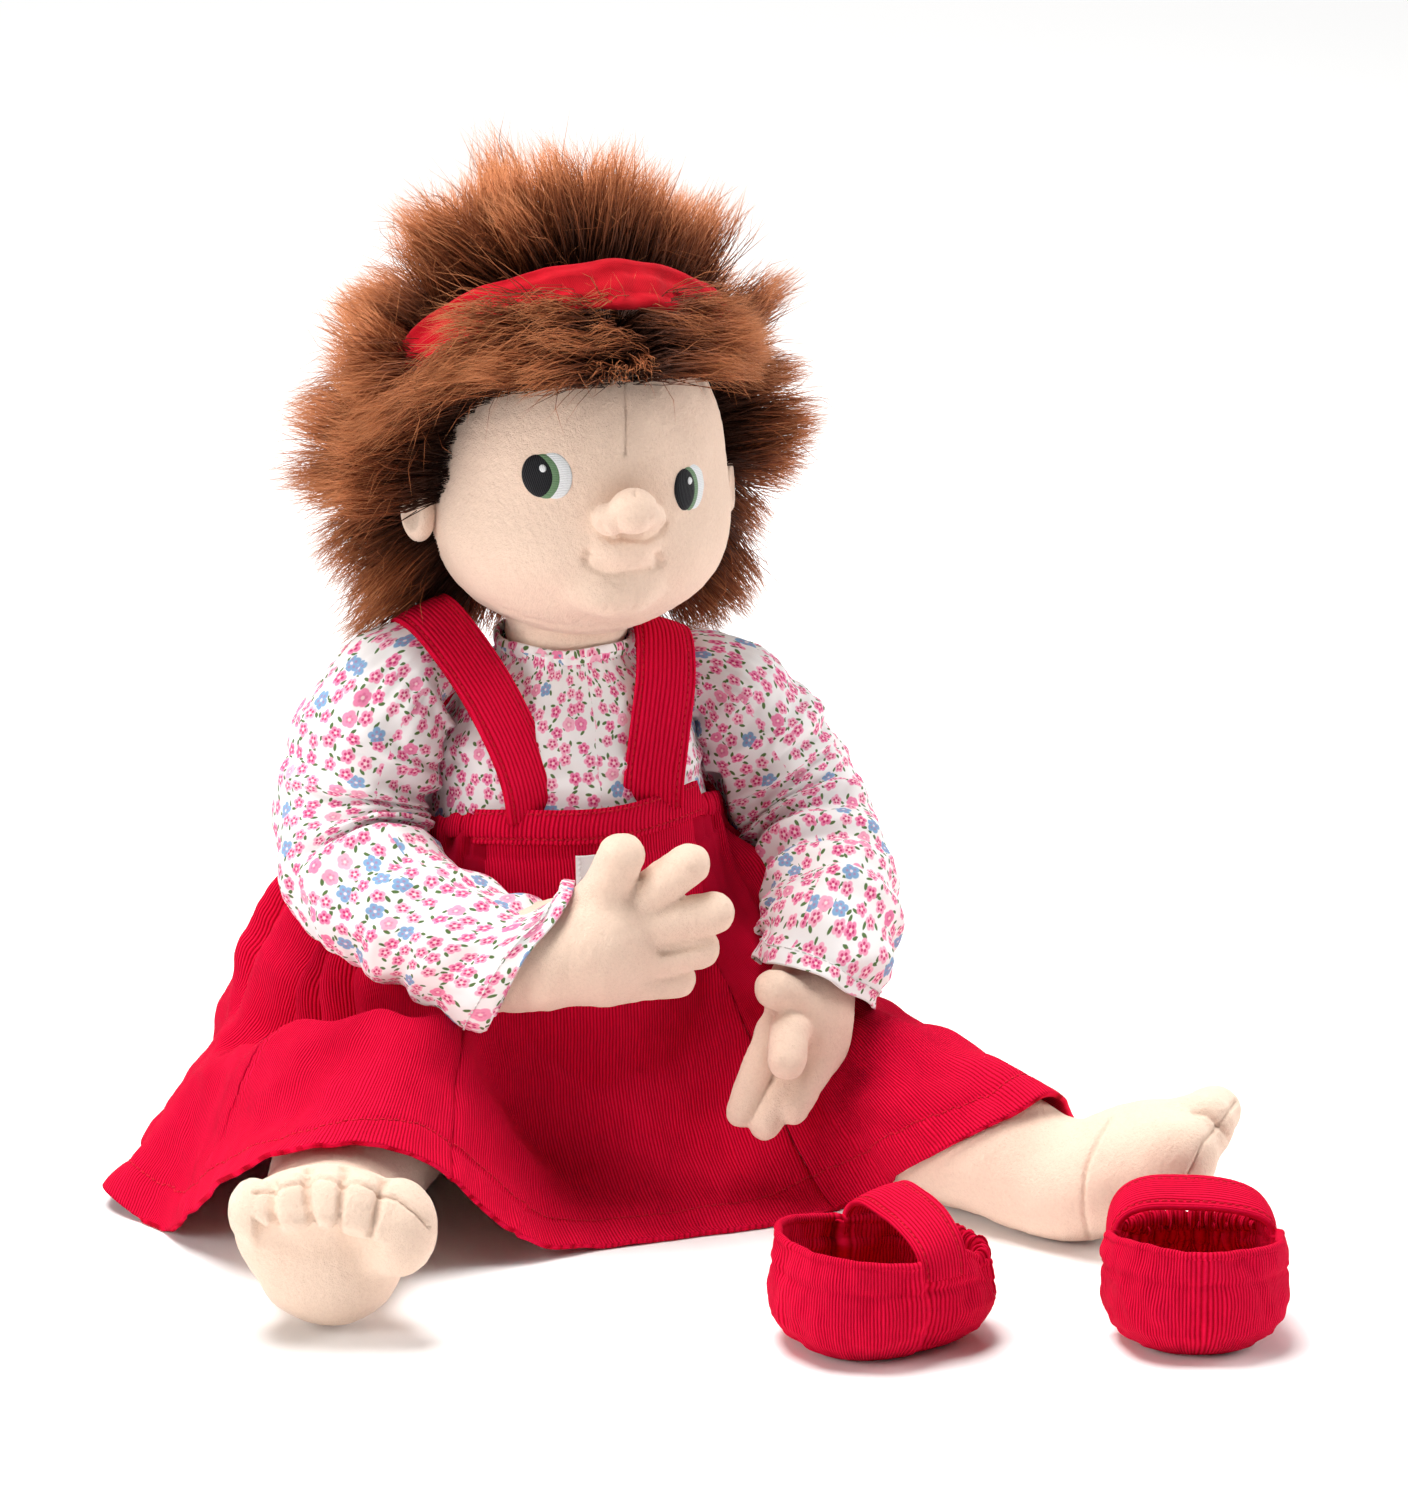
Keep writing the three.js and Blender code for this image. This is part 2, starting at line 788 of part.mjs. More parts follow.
for (const [side, a] of Object.entries(ARMS)) {
  const whole = [...a.path, ...a.wrist.slice(1)];
  const radii = [...ARM_RADII, 13.8, 13];
  let outer = solid(limb(whole, radii, 10, 0, LIMB_SIDES, 1));
  outer = outer.add(solid(ellipsoid(a.palm.c, a.palm.half, null, 12, 8)));
  for (const [f, t, r] of a.fingers) outer = outer.add(solid(finger(f, t, r)));
  // open at the shoulder end, where it is sewn to the trunk
  const inner = flatLimb(whole, radii, 10, -SKIN, LIMB_SIDES, 30, -2);
  add("arm_" + side + "_skin", largest(outer.subtract(solid(inner))), PEACH);
  add("arm_" + side + "_filling", flatLimb(whole, radii, 10, -SKIN - GAP - 0.2, LIMB_SIDES, 4, -2.8), FILL, 1);
  const st = stations(
    [a.cap, ...a.path],
    [11.5, 18.4, 19.6, 20, 20.2, 20.4, 20.8, 21.2],
    12,
  );
  add(
    "sleeve_" + side,
    sleeveLoop(
      [
        ...st.map((s) => ringAt(s, s.r)),
        ...st.slice().reverse().map((s) => ringAt(s, s.r - COTTON)),
      ],
      LIMB_SIDES,
    ),
    PRINT,
  );
}

// ---------------------------------------------------------------- legs
const LEGS = {
  right: {
    path: [
      [-60, -20, 22],
      [-76, -41, 23.6],
      [-89, -64, 24],
      [-101, -92, 22.5],
      [-110, -114, 21.5],
    ],
    foot: {
      c: [-116, -138, 26],
      axes: [V(0.951, -0.309, 0), V(0.309, 0.951, 0)],
      half: [27.5, 17, 25.2],
    },
    toes: [
      [-139, -142, 42, 8.2],
      [-129, -147, 44.5, 8.2],
      [-119, -151, 45, 8.4],
      [-109, -154, 44.5, 8.8],
      [-97, -156, 42, 10.5],
    ],
  },
  left: {
    path: [
      [60, -20, 22],
      [76, -41, 23.6],
      [89, -64, 24],
      [101, -92, 22.5],
      [110, -112, 21.5],
    ],
    foot: {
      c: [135, -138, 23.5],
      axes: [V(0.68, -0.56, 0.47).normalize(), V(0.636, 0.772, 0).normalize()],
      half: [33, 25, 18.5],
    },
    toes: [
      [145, -165, 40, 9.5],
      [153, -159, 41, 8.2],
      [160, -152, 41, 8],
      [165, -144, 40, 7.8],
      [168, -136, 38, 7.6],
    ],
  },
};
const LEG_RADII = [20, 23, 23.4, 21.6, 20];
const LEG_SIDES = 12;
for (const [side, l] of Object.entries(LEGS)) {
  const leg = (off) => solid(limb(l.path, LEG_RADII, 6, off, LEG_SIDES));
  const f = l.foot;
  let foot = solid(
    ellipsoid(f.c, f.half, [f.axes[0], f.axes[1], f.axes[0].clone().cross(f.axes[1])], 12, 8),
  );
  for (const [x, y, z, r] of l.toes) foot = foot.add(solid(ellipsoid([x, y, z], [r, r, r], null, 8, 5)));
  add("foot_" + side, largest(foot.subtract(leg(GAP)).subtract(below(0))), PEACH);
  // the turning gap in the seam under the thigh
  const gap = solid(
    new THREE.BoxGeometry(22, 3, 30)
      .rotateZ((side === "right" ? 58 : -58) * DEG)
      .translate(l.path[1][0], l.path[1][1], -9),
  );
  add("leg_" + side + "_skin", largest(leg(0).subtract(below(0.2)).subtract(leg(-SKIN)).subtract(gap)), PEACH);
  add("leg_" + side + "_filling", leg(-SKIN - GAP), FILL, 1);
}

// ---------------------------------------------------------------- shoes
// heel at +Y, toe at -Y in the shoe's own frame
function shoe(prefix, place) {
  const put = (g) => g.rotateZ(place.turn * DEG).translate(place.x, place.y, 0);
  const oval = (z, hw, hl) => (t) => {
    const c = Math.cos(t),
      s = Math.sin(t),
      k = 0.8;
    const toe = s < 0 ? 1.04 : 0.94;
    return V(hw * toe * Math.sign(c) * Math.abs(c) ** k, hl * Math.sign(s) * Math.abs(s) ** k, z);
  };
  const hw = SHOE_WIDTH / 2,
    hl = SHOE_LENGTH / 2;
  add(
    prefix + "_sole",
    put(
      blob(
        [V(0, 0, 0), oval(0, hw - 6, hl - 6), oval(2.6, hw - 4, hl - 4), V(0, 0, 2.6)],
        24,
      ),
    ),
    RED_DARK,
  );
  add(
    prefix + "_upper",
    put(
      sleeveLoop(
        [
          oval(0.9, hw - 3.4, hl - 3.4),
          oval(5, hw - 0.8, hl - 0.8),
          oval(14, hw, hl),
          oval(SHOE_HEIGHT, hw - 2.4, hl - 2.4),
          oval(SHOE_HEIGHT, hw - 2.4 - SHOE_WALL, hl - 2.4 - SHOE_WALL),
          oval(14, hw - SHOE_WALL, hl - SHOE_WALL),
          oval(5, hw - 0.8 - SHOE_WALL, hl - 0.8 - SHOE_WALL),
        ],
        24,
      ),
    ),
    RED,
  );
  // gathered elastic along the heel's edge
  const heel = new THREE.CatmullRomCurve3(
    Array.from({ length: 9 }, (_, i) => {
      const t = (38 + (104 * i) / 8) * DEG,
        q = oval(SHOE_HEIGHT + 2.1, hw - 4, hl - 4)(t);
      return q;
    }),
  );
  const section = new THREE.Shape().absarc(0, 0, 1.7, 0, 2 * Math.PI, false);
  add(
    prefix + "_heel_elastic",
    put(new THREE.ExtrudeGeometry(section, { steps: 12, extrudePath: heel, curveSegments: 3 })),
    RED,
  );
  // strap over the instep
  const rimX = 22;
  add(
    prefix + "_strap",
    put(
      sheet(
        (u, v, w) => {
          const a = Math.PI * (1 - v),
            rx = rimX - 0.4 + w * 1.2,
            rz = 17 + w * CORD;
          return V(
            rx * Math.cos(a),
            7 + (u - 0.5) * 15,
            SHOE_HEIGHT + GAP + rz * Math.sin(a) ** 0.8,
          );
        },
        2,
        14,
      ),
    ),
    RED,
  );
}
shoe("shoe_a", SHOE_A);
shoe("shoe_b", SHOE_B);

export default part;
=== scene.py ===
"""A soft stuffed doll seated on a pale floor: velour skin, long-pile wig with a headband, printed cotton shirt,
red fine-wale corduroy pinafore and a pair of loose corduroy shoes. Lengths in this file are millimetres until a mesh is made."""

import math

import bpy
import numpy as np
from mathutils import Matrix, Vector


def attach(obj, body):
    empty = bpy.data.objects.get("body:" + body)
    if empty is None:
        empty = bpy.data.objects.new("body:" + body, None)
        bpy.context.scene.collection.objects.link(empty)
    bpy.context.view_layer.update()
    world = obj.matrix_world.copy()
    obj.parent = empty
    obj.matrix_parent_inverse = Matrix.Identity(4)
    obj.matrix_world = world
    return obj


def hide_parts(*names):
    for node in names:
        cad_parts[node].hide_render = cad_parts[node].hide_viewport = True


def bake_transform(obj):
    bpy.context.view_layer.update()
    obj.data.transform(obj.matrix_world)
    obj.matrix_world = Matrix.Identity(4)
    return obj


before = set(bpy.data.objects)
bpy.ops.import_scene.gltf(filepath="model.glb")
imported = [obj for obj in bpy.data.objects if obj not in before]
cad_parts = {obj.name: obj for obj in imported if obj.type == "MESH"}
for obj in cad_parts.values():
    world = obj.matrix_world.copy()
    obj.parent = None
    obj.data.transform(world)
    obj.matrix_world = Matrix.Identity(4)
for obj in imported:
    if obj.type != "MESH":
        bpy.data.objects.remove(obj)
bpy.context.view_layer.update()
MM = 0.001
TAU = 2 * math.pi


# ------------------------------------------------------------------ numbers shared with the solid model
TORSO = np.array(
    [
        [0, 36, 34], [6, 41, 39], [25, 44, 42], [55, 48, 45], [86, 48, 43], [104, 46, 41],
        [120, 43, 38], [138, 39, 33], [150, 33, 28], [158, 26, 24.5], [163, 22, 22],
    ],
    float,
)
DRESS_OFF = 2.7
CORD = 1.6
HEAD_C = np.array([5.0, 2.0, 226.0])
HEAD_R = np.array([46.0, 51.0, 52.0])
BAND_C = np.array([4.0, 16.0, 246.0])
BAND_RX, BAND_RD, BAND_HALF, BAND_THICK = 55.5, 56.5, 8.5, 3.0
BAND_DIR = np.array([0, -0.72, 0.69]) / math.hypot(0.72, 0.69)
BAND_ACROSS = np.array([1.0, 0, 0])
BAND_N = np.cross(BAND_ACROSS, BAND_DIR)  # points down and forward
WALE = 1.4

ARM = {
    "right": dict(
        path=[[-57, 0, 153], [-64, 1, 140], [-70, 0, 121], [-70.5, -10, 104.5], [-64, -31, 95], [-52, -50.5, 89.5], [-39, -67, 86.5]],
        wrist=[[-27, -74, 88.5], [-15, -78, 92]],
        palm=([-9.0, -79.5, 93.4], [18.0, 11.5, 19.8]),
        fingers=[
            ([-12.6, -81, 108.5], [-7.7, -85, 121.4], 7.6), ([2.0, -84, 109.0], [12.6, -88, 117.8], 6.9), ([5.0, -85.5, 99.5], [19.6, -90, 102.4], 7.0),
            ([4.0, -84.5, 88.0], [16.4, -88, 90.9], 6.4), ([-2.0, -81.5, 80.3], [10.2, -83, 80.0], 6.2),
        ],
        cap=[-47, 0, 163],
    ),
    "left": dict(
        path=[[54, 0, 147], [61, 1, 135], [69.5, 1, 120], [77, -6, 106], [79, -22, 94], [76, -40, 85], [69, -55, 78.5]],
        wrist=[[63, -62, 72], [57, -69, 65]],
        palm=([58.0, -74.0, 57.5], [12.0, 10.5, 17.0]),
        fingers=[
            ([53.9, -78, 67.8], [42.8, -81, 73.0], 6.6), ([46.4, -84, 60.6], [43.7, -90, 53.0], 6.4), ([44.2, -74, 57.9], [32.5, -79, 33.9], 5.2),
            ([48.1, -79, 42.8], [39.0, -83, 30.6], 5.2), ([56.3, -79, 45.2], [47.6, -83.5, 35.7], 5.8),
        ],
        cap=[43, 0, 156],
    ),
}
LEG = {
    "right": dict(
        path=[[-60, -20, 22], [-76, -41, 23.6], [-89, -64, 24], [-101, -92, 22.5], [-110, -114, 21.5]],
        foot=([-116, -138, 26], [27.5, 17, 25.2], [[0.951, -0.309, 0], [0.309, 0.951, 0]]),
        toes=[[-139, -142, 42, 8.2], [-129, -147, 44.5, 8.2], [-119, -151, 45, 8.4], [-109, -154, 44.5, 8.8], [-98, -156, 41, 10.5]],
    ),
    "left": dict(
        path=[[60, -20, 22], [76, -41, 23.6], [89, -64, 24], [101, -92, 22.5], [110, -112, 21.5]],
        foot=([135, -138, 23.5], [33, 25, 18.5], [[0.68, -0.56, 0.47], [0.636, 0.772, 0]]),
        toes=[[143, -162, 34, 13.0], [155, -155, 41, 9.6], [161, -148, 41, 8.4], [165, -141, 40, 8.0], [168, -134, 38, 7.6]],
    ),
}
STRAP = {
    "right": ([[-21, -34, 122], [-22.5, -34.5, 131], [-25.8, -30.5, 144], [-34.4, -22.5, 163.8], [-43.5, -9, 179], [-45, 7, 179], [-37.5, 23, 163], [-28.5, 30.5, 143], [-21.5, 34.5, 121]], [0.93, 0.3, 0]),
    "left": ([[17.8, -35.4, 122], [17.6, -37, 131], [20.3, -33.5, 143.2], [24.6, -26.5, 159.7], [28.5, -12, 170], [31, 6, 170], [30, 22, 158], [26.5, 30.5, 143], [21.5, 34.5, 121]], [0.97, -0.22, 0]),
}
STRAP_WIDTH = 19.0
SHOE = {"a": (37.0, -198.0, -80.0), "b": (127.0, -219.0, -16.0)}
SHOE_L, SHOE_W, SHOE_H = 66.0, 54.0, 27.0


# ------------------------------------------------------------------ small maths
def unit(v):
    v = np.asarray(v, float)
    return v / np.maximum(np.linalg.norm(v, axis=-1, keepdims=True), 1e-12)


def sstep(a, b, x):
    t = np.clip((np.asarray(x, float) - a) / (b - a), 0, 1)
    return t * t * (3 - 2 * t)


def bell(x, c, s):
    return np.exp(-(((np.asarray(x, float) - c) / s) ** 2))


def wob(P, size, seed, octaves=2):
    """A smooth pseudo-random field between about -1 and 1; size is the length of its features."""
    rng = np.random.default_rng(seed)
    out = np.zeros(P.shape[:-1])
    amp, total = 1.0, 0.0
    for _ in range(octaves):
        for _ in range(5):
            k = unit(rng.normal(size=3)) * TAU / (size * rng.uniform(0.8, 1.6))
            out += amp * np.sin(P @ k + rng.uniform(0, TAU))
        total += amp * 2.2
        amp *= 0.5
        size *= 0.5
    return out / total


def blur(a, n):
    """Gaussian smoothing of a closed row of numbers."""
    m = len(a)
    k = np.exp(-0.5 * (np.arange(-3 * n, 3 * n + 1) / n) ** 2)
    k /= k.sum()
    return np.convolve(np.concatenate([a[-3 * n :], a, a[: 3 * n]]), k, "same")[3 * n : 3 * n + m]


def curve(points, n, closed=False):
    """n points evenly along a centripetal spline through the given ones."""
    P = np.array(points, float)
    Q = np.vstack([2 * P[0] - P[1], P, 2 * P[-1] - P[-2]])
    out = []
    for i in range(1, len(Q) - 2):
        p0, p1, p2, p3 = Q[i - 1 : i + 3]
        d = lambda a, b: max(np.linalg.norm(b - a) ** 0.5, 1e-4)
        t0, t1 = 0.0, d(p0, p1)
        t2 = t1 + d(p1, p2)
        t3 = t2 + d(p2, p3)
        t = np.linspace(t1, t2, 40, endpoint=i == len(Q) - 3)[:, None]
        a1 = (t1 - t) / (t1 - t0) * p0 + (t - t0) / (t1 - t0) * p1
        a2 = (t2 - t) / (t2 - t1) * p1 + (t - t1) / (t2 - t1) * p2
        a3 = (t3 - t) / (t3 - t2) * p2 + (t - t2) / (t3 - t2) * p3
        b1 = (t2 - t) / (t2 - t0) * a1 + (t - t0) / (t2 - t0) * a2
        b2 = (t3 - t) / (t3 - t1) * a2 + (t - t1) / (t3 - t1) * a3
        out.append((t2 - t) / (t2 - t1) * b1 + (t - t1) / (t2 - t1) * b2)
    D = np.vstack(out)
    s = np.concatenate([[0], np.cumsum(np.linalg.norm(np.diff(D, axis=0), axis=1))])
    at = np.linspace(0, s[-1], n)
    return np.stack([np.interp(at, s, D[:, k]) for k in range(3)], 1), at


def carried(C, ref):
    """Tangents and two side directions carried along a curve without twist; the first starts nearest ref."""
    T = unit(np.gradient(C, axis=0))
    n = np.asarray(ref, float)
    N = np.zeros_like(C)
    for i in range(len(C)):
        n = n - T[i] * (n @ T[i])
        n = n / np.linalg.norm(n)
        N[i] = n
    return T, N, np.cross(T, N)


# ------------------------------------------------------------------ meshes
class Build:
    """Collects grids and shapes, in millimetres, into one mesh with UVs and material slots."""

    def __init__(self):
        self.v, self.f, self.uv, self.m, self.count = [], [], [], [], 0

    def add(self, verts, faces, uv=None, mat=0):
        verts = np.asarray(verts, float).reshape(-1, 3)
        faces = np.asarray(faces, np.int64)
        if uv is None:
            uv = np.zeros(faces.shape + (2,))
        self.v.append(verts)
        self.f.append(faces + self.count)
        self.uv.append(np.asarray(uv, float))
        self.m.append(np.full(len(faces), mat))
        self.count += len(verts)

    def obj(self, name, *mats, uv_name="UVMap", smooth=True):
        me = bpy.data.meshes.new(name)
        V = np.vstack(self.v)
        me.vertices.add(len(V))
        me.vertices.foreach_set("co", (V * MM).astype(np.float32).ravel())
        loops = np.concatenate([f.ravel() for f in self.f])
        sizes = np.concatenate([np.full(len(f), f.shape[1]) for f in self.f])
        me.loops.add(len(loops))
        me.loops.foreach_set("vertex_index", loops.astype(np.int32))
        me.polygons.add(len(sizes))
        me.polygons.foreach_set("loop_start", np.concatenate([[0], np.cumsum(sizes)[:-1]]).astype(np.int32))
        me.update(calc_edges=True)
        uv = me.uv_layers.new(name=uv_name)
        uv.data.foreach_set("uv", np.concatenate([u.ravel() for u in self.uv]).astype(np.float32))
        me.polygons.foreach_set("use_smooth", np.full(len(sizes), smooth))
        me.polygons.foreach_set("material_index", np.concatenate(self.m).astype(np.int32))
        rest = me.attributes.new("rest", "FLOAT_VECTOR", "POINT")
        rest.data.foreach_set("vector", V.astype(np.float32).ravel())
        for m in mats:
            me.materials.append(m)
        me.validate()
        me.update()
        ob = bpy.data.objects.new(name, me)
        bpy.context.scene.collection.objects.link(ob)
        return ob


def quads(nv, nu, closed):
    ii, jj = np.meshgrid(np.arange(nu if closed else nu - 1), np.arange(nv - 1))
    i2 = (ii + 1) % nu
    F = np.stack([jj * nu + ii, jj * nu + i2, (jj + 1) * nu + i2, (jj + 1) * nu + ii], -1).reshape(-1, 4)
    return F, jj.ravel(), ii.ravel()


def uv_of(U, V, jj, ii):
    at = lambda j, i: np.stack([U[j, i], V[j, i]], -1)
    return np.stack([at(jj, ii), at(jj, ii + 1), at(jj + 1, ii + 1), at(jj + 1, ii)], 1)


def grid_normals(P, closed):
    du = np.roll(P, -1, 1) - np.roll(P, 1, 1) if closed else np.gradient(P, axis=1)
    return unit(np.cross(du, np.gradient(P, axis=0)))


def thick(b, P, U, V, t, closed=False, mat=0, away=None, rim_mat=None):
    """A cloth: P, rows by columns, is its outer face, and its inner face lies t behind. away is a point on its inner side."""
    nv, nu = P.shape[:2]
    n = grid_normals(P, closed)
    flip = np.sum(n * (P - np.asarray(away, float))) < 0
    Q = P + n * (t if flip else -t)
    F, jj, ii = quads(nv, nu, closed)
    uv = uv_of(U, V, jj, ii)
    k = nv * nu
    faces, uvs = [F, F[:, ::-1] + k], [uv, uv[:, ::-1]]
    last = np.arange(nu if closed else nu - 1)
    nxt = (last + 1) % nu
    uv_row = lambda j: np.stack([U[j, last], np.full(len(last), 0.0) + V[j, last]], -1)
    for a, c, j in ((nxt, last, 0), (last, nxt, nv - 1)):
        faces.append(np.stack([j * nu + a, j * nu + c, k + j * nu + c, k + j * nu + a], -1))
        e = uv_row(j)
        uvs.append(np.stack([e, e, e, e], 1))
    if not closed:
        r = np.arange(nv - 1)
        for a, c, i in ((r, r + 1, 0), (r + 1, r, nu - 1)):
            faces.append(np.stack([a * nu + i, c * nu + i, k + c * nu + i, k + a * nu + i], -1))
            e = np.stack([U[a, i], V[a, i]], -1)
            uvs.append(np.stack([e, e, e, e], 1))
    F, uv = np.vstack(faces), np.vstack(uvs)
    if flip:
        F, uv = F[:, ::-1], uv[:, ::-1]
    b.add(np.vstack([P.reshape(-1, 3), Q.reshape(-1, 3)]), F, uv, mat)


def closed_rows(b, P, U, V, mat=0):
    """Rings, rows by columns, closed by a point at each end. Faces point out when rows run along the tangent and columns turn with it."""
    nv, nu = P.shape[:2]
    F, jj, ii = quads(nv, nu, True)
    uv = uv_of(U, V, jj, ii)
    c0, c1 = P[0].mean(0), P[-1].mean(0)
    k = nv * nu
    i = np.arange(nu)
    nx = (i + 1) % nu
    t0 = np.stack([np.full(nu, k), nx, i], -1)
    t1 = np.stack([np.full(nu, k + 1), (nv - 1) * nu + i, (nv - 1) * nu + nx], -1)
    e = lambda j: np.stack([U[j, i], V[j, i]], -1)
    base = b.count
    b.add(np.vstack([P.reshape(-1, 3), c0, c1]), F, uv, mat)
    b.f.append(np.vstack([t0, t1]) + base)
    b.uv.append(np.concatenate([np.stack([e(0)] * 3, 1), np.stack([e(nv - 1)] * 3, 1)]))
    b.m.append(np.full(2 * nu, mat))


def stitches(b, C, N, pitch, length, width, mat, height=0.35):
    """A row of sewn stitches along the points C, lying on a surface with normals N."""
    s = np.concatenate([[0], np.cumsum(np.linalg.norm(np.diff(C, axis=0), axis=1))])
    at = np.arange(pitch * 0.5, s[-1], pitch)
    c = np.stack([np.interp(at, s, C[:, k]) for k in range(3)], 1)
    n = unit(np.stack([np.interp(at, s, N[:, k]) for k in range(3)], 1))
    t = unit(np.stack([np.interp(at, s, np.gradient(C[:, k])) for k in range(3)], 1))
    t = unit(t - n * np.sum(t * n, 1, keepdims=True))
    o = np.cross(n, t)
    rings = [(-0.5, 0.35), (-0.3, 0.9), (0.0, 1.0), (0.3, 0.9), (0.5, 0.35)]
    sides = 6
    a = np.arange(sides) * TAU / sides
    V = np.stack(
        [
            c[:, None] + t[:, None] * (x * length) + (o[:, None] * np.cos(a)[None, :, None]) * (width * 0.5 * r)
            + n[:, None] * (np.sin(a)[None, :, None] * height * r)
            for x, r in rings
        ],
        1,
    )  # stitch, ring, side, xyz
    m = len(rings)
    F, _, _ = quads(m, sides, True)
    caps = np.array([[0, 2, 1], [0, 3, 2], [0, 4, 3], [0, 5, 4]])
    top = np.array([[0, 1, 2], [0, 2, 3], [0, 3, 4], [0, 4, 5]]) + (m - 1) * sides
    k = np.arange(len(c))[:, None, None] * (m * sides)
    base = b.count
    b.add(V.reshape(-1, 3), (F[None] + k).reshape(-1, 4), None, mat)
    T = (np.vstack([caps, top])[None] + k).reshape(-1, 3)
    b.f.append(T + base)
    b.uv.append(np.zeros(T.shape + (2,)))
    b.m.append(np.full(len(T), mat))


# ------------------------------------------------------------------ signed distance shapes for the stuffed pieces
class Field:
    """A grid of points on which distances are built up, then meshed."""

    def __init__(self, lo, hi, h):
        self.lo, self.h = np.asarray(lo, float), h
        self.ax = [np.arange(lo[k], hi[k] + h, h, dtype=np.float32) for k in range(3)]
        self.X, self.Y, self.Z = np.meshgrid(*self.ax, indexing="ij", sparse=True)

    def ball(self, c, r, axes=None):
        """An ellipsoid, close to a true distance near its surface."""
        d = [self.X - np.float32(c[0]), self.Y - np.float32(c[1]), self.Z - np.float32(c[2])]
        if axes is not None:
            d = [a[0] * d[0] + a[1] * d[1] + a[2] * d[2] for a in np.asarray(axes, np.float32)]
        r = np.asarray(r, np.float32)
        k0 = np.sqrt((d[0] / r[0]) ** 2 + (d[1] / r[1]) ** 2 + (d[2] / r[2]) ** 2)
        k1 = np.sqrt((d[0] / r[0] ** 2) ** 2 + (d[1] / r[1] ** 2) ** 2 + (d[2] / r[2] ** 2) ** 2)
        return k0 * (k0 - 1) / np.maximum(k1, 1e-6)

    def cone(self, a, b, ra, rb):
        a, b = np.asarray(a, np.float32), np.asarray(b, np.float32)
        d = b - a
        px, py, pz = self.X - a[0], self.Y - a[1], self.Z - a[2]
        t = np.clip((px * d[0] + py * d[1] + pz * d[2]) / np.float32(d @ d), 0, 1)
        return np.sqrt((px - d[0] * t) ** 2 + (py - d[1] * t) ** 2 + (pz - d[2] * t) ** 2) - (ra + t * np.float32(rb - ra))

    def chain(self, pts, radii):
        out = None
        for i in range(len(pts) - 1):
            d = self.cone(pts[i], pts[i + 1], radii[i], radii[i + 1])
            out = d if out is None else np.minimum(out, d)
        return out

    def near(self, pts):
        """Distance to a line through points."""
        return self.chain(pts, [0.0] * len(pts))

    def mesh(self, D):
        """Naive surface nets: one vertex in each cell that the surface crosses."""
        D = np.ascontiguousarray(np.broadcast_to(D, tuple(len(a) for a in self.ax))).astype(np.float32)
        n = np.array(D.shape)
        S = np.zeros(tuple(n - 1) + (3,), np.float32)
        W = np.zeros(tuple(n - 1), np.float32)
        inside = D < 0
        edges = []
        for ax in range(3):
            lo = [slice(None)] * 3
            hi = [slice(None)] * 3
            lo[ax], hi[ax] = slice(0, -1), slice(1, None)
            a, b = D[tuple(lo)], D[tuple(hi)]
            cross = inside[tuple(lo)] != inside[tuple(hi)]
            idx = np.argwhere(cross)
            va, vb = a[cross], b[cross]
            p = idx.astype(np.float32)
            p[:, ax] += va / (va - vb)
            o1, o2 = [k for k in range(3) if k != ax]
            cells = []
            for d1 in (0, 1):
                for d2 in (0, 1):
                    c = idx.copy()
                    c[:, o1] -= d1
                    c[:, o2] -= d2
                    ok = np.all((c >= 0) & (c < n - 1), 1)
                    np.add.at(W, tuple(c[ok].T), 1)
                    np.add.at(S, tuple(c[ok].T), p[ok])
                    cells.append((c, ok))
            edges.append((ax, cells, va < 0))
        used = W > 0
        index = np.full(W.shape, -1, np.int64)
        index[used] = np.arange(used.sum())
        V = S[used] / W[used][:, None] * self.h + self.lo
        faces = []
        for ax, cells, positive in edges:
            ok = np.all([k for _, k in cells], 0)
            q = [index[tuple(c[ok].T)] for c, _ in cells]  # (0,0), (0,1), (1,0), (1,1)
            f = np.stack([q[0], q[1], q[3], q[2]], 1)
            turn = positive[ok] if ax != 1 else ~positive[ok]
            f[turn] = f[turn][:, ::-1]
            faces.append(f)
        return V.astype(float), np.vstack(faces)


def smin(a, b, k):
    h = np.clip(0.5 + 0.5 * (b - a) / k, 0, 1)
    return b + (a - b) * h - k * h * (1 - h)


def smax(a, b, k):
    return -smin(-a, -b, k)


def relax(V, F, steps=2, amount=0.5):
    """Evens out a quad mesh by moving each vertex toward the mean of its neighbours."""
    e = np.vstack([F[:, [0, 1]], F[:, [1, 2]], F[:, [2, 3]], F[:, [3, 0]]])
    for _ in range(steps):
        s = np.zeros_like(V)
        w = np.zeros(len(V))
        np.add.at(s, e[:, 0], V[e[:, 1]])
        np.add.at(s, e[:, 1], V[e[:, 0]])
        np.add.at(w, e[:, 0], 1)
        np.add.at(w, e[:, 1], 1)
        V = V + amount * (s / np.maximum(w, 1)[:, None] - V)
    return V


def stuffed(name, V, F, mat):
    b = Build()
    b.add(V, F)
    return b.obj(name, mat)


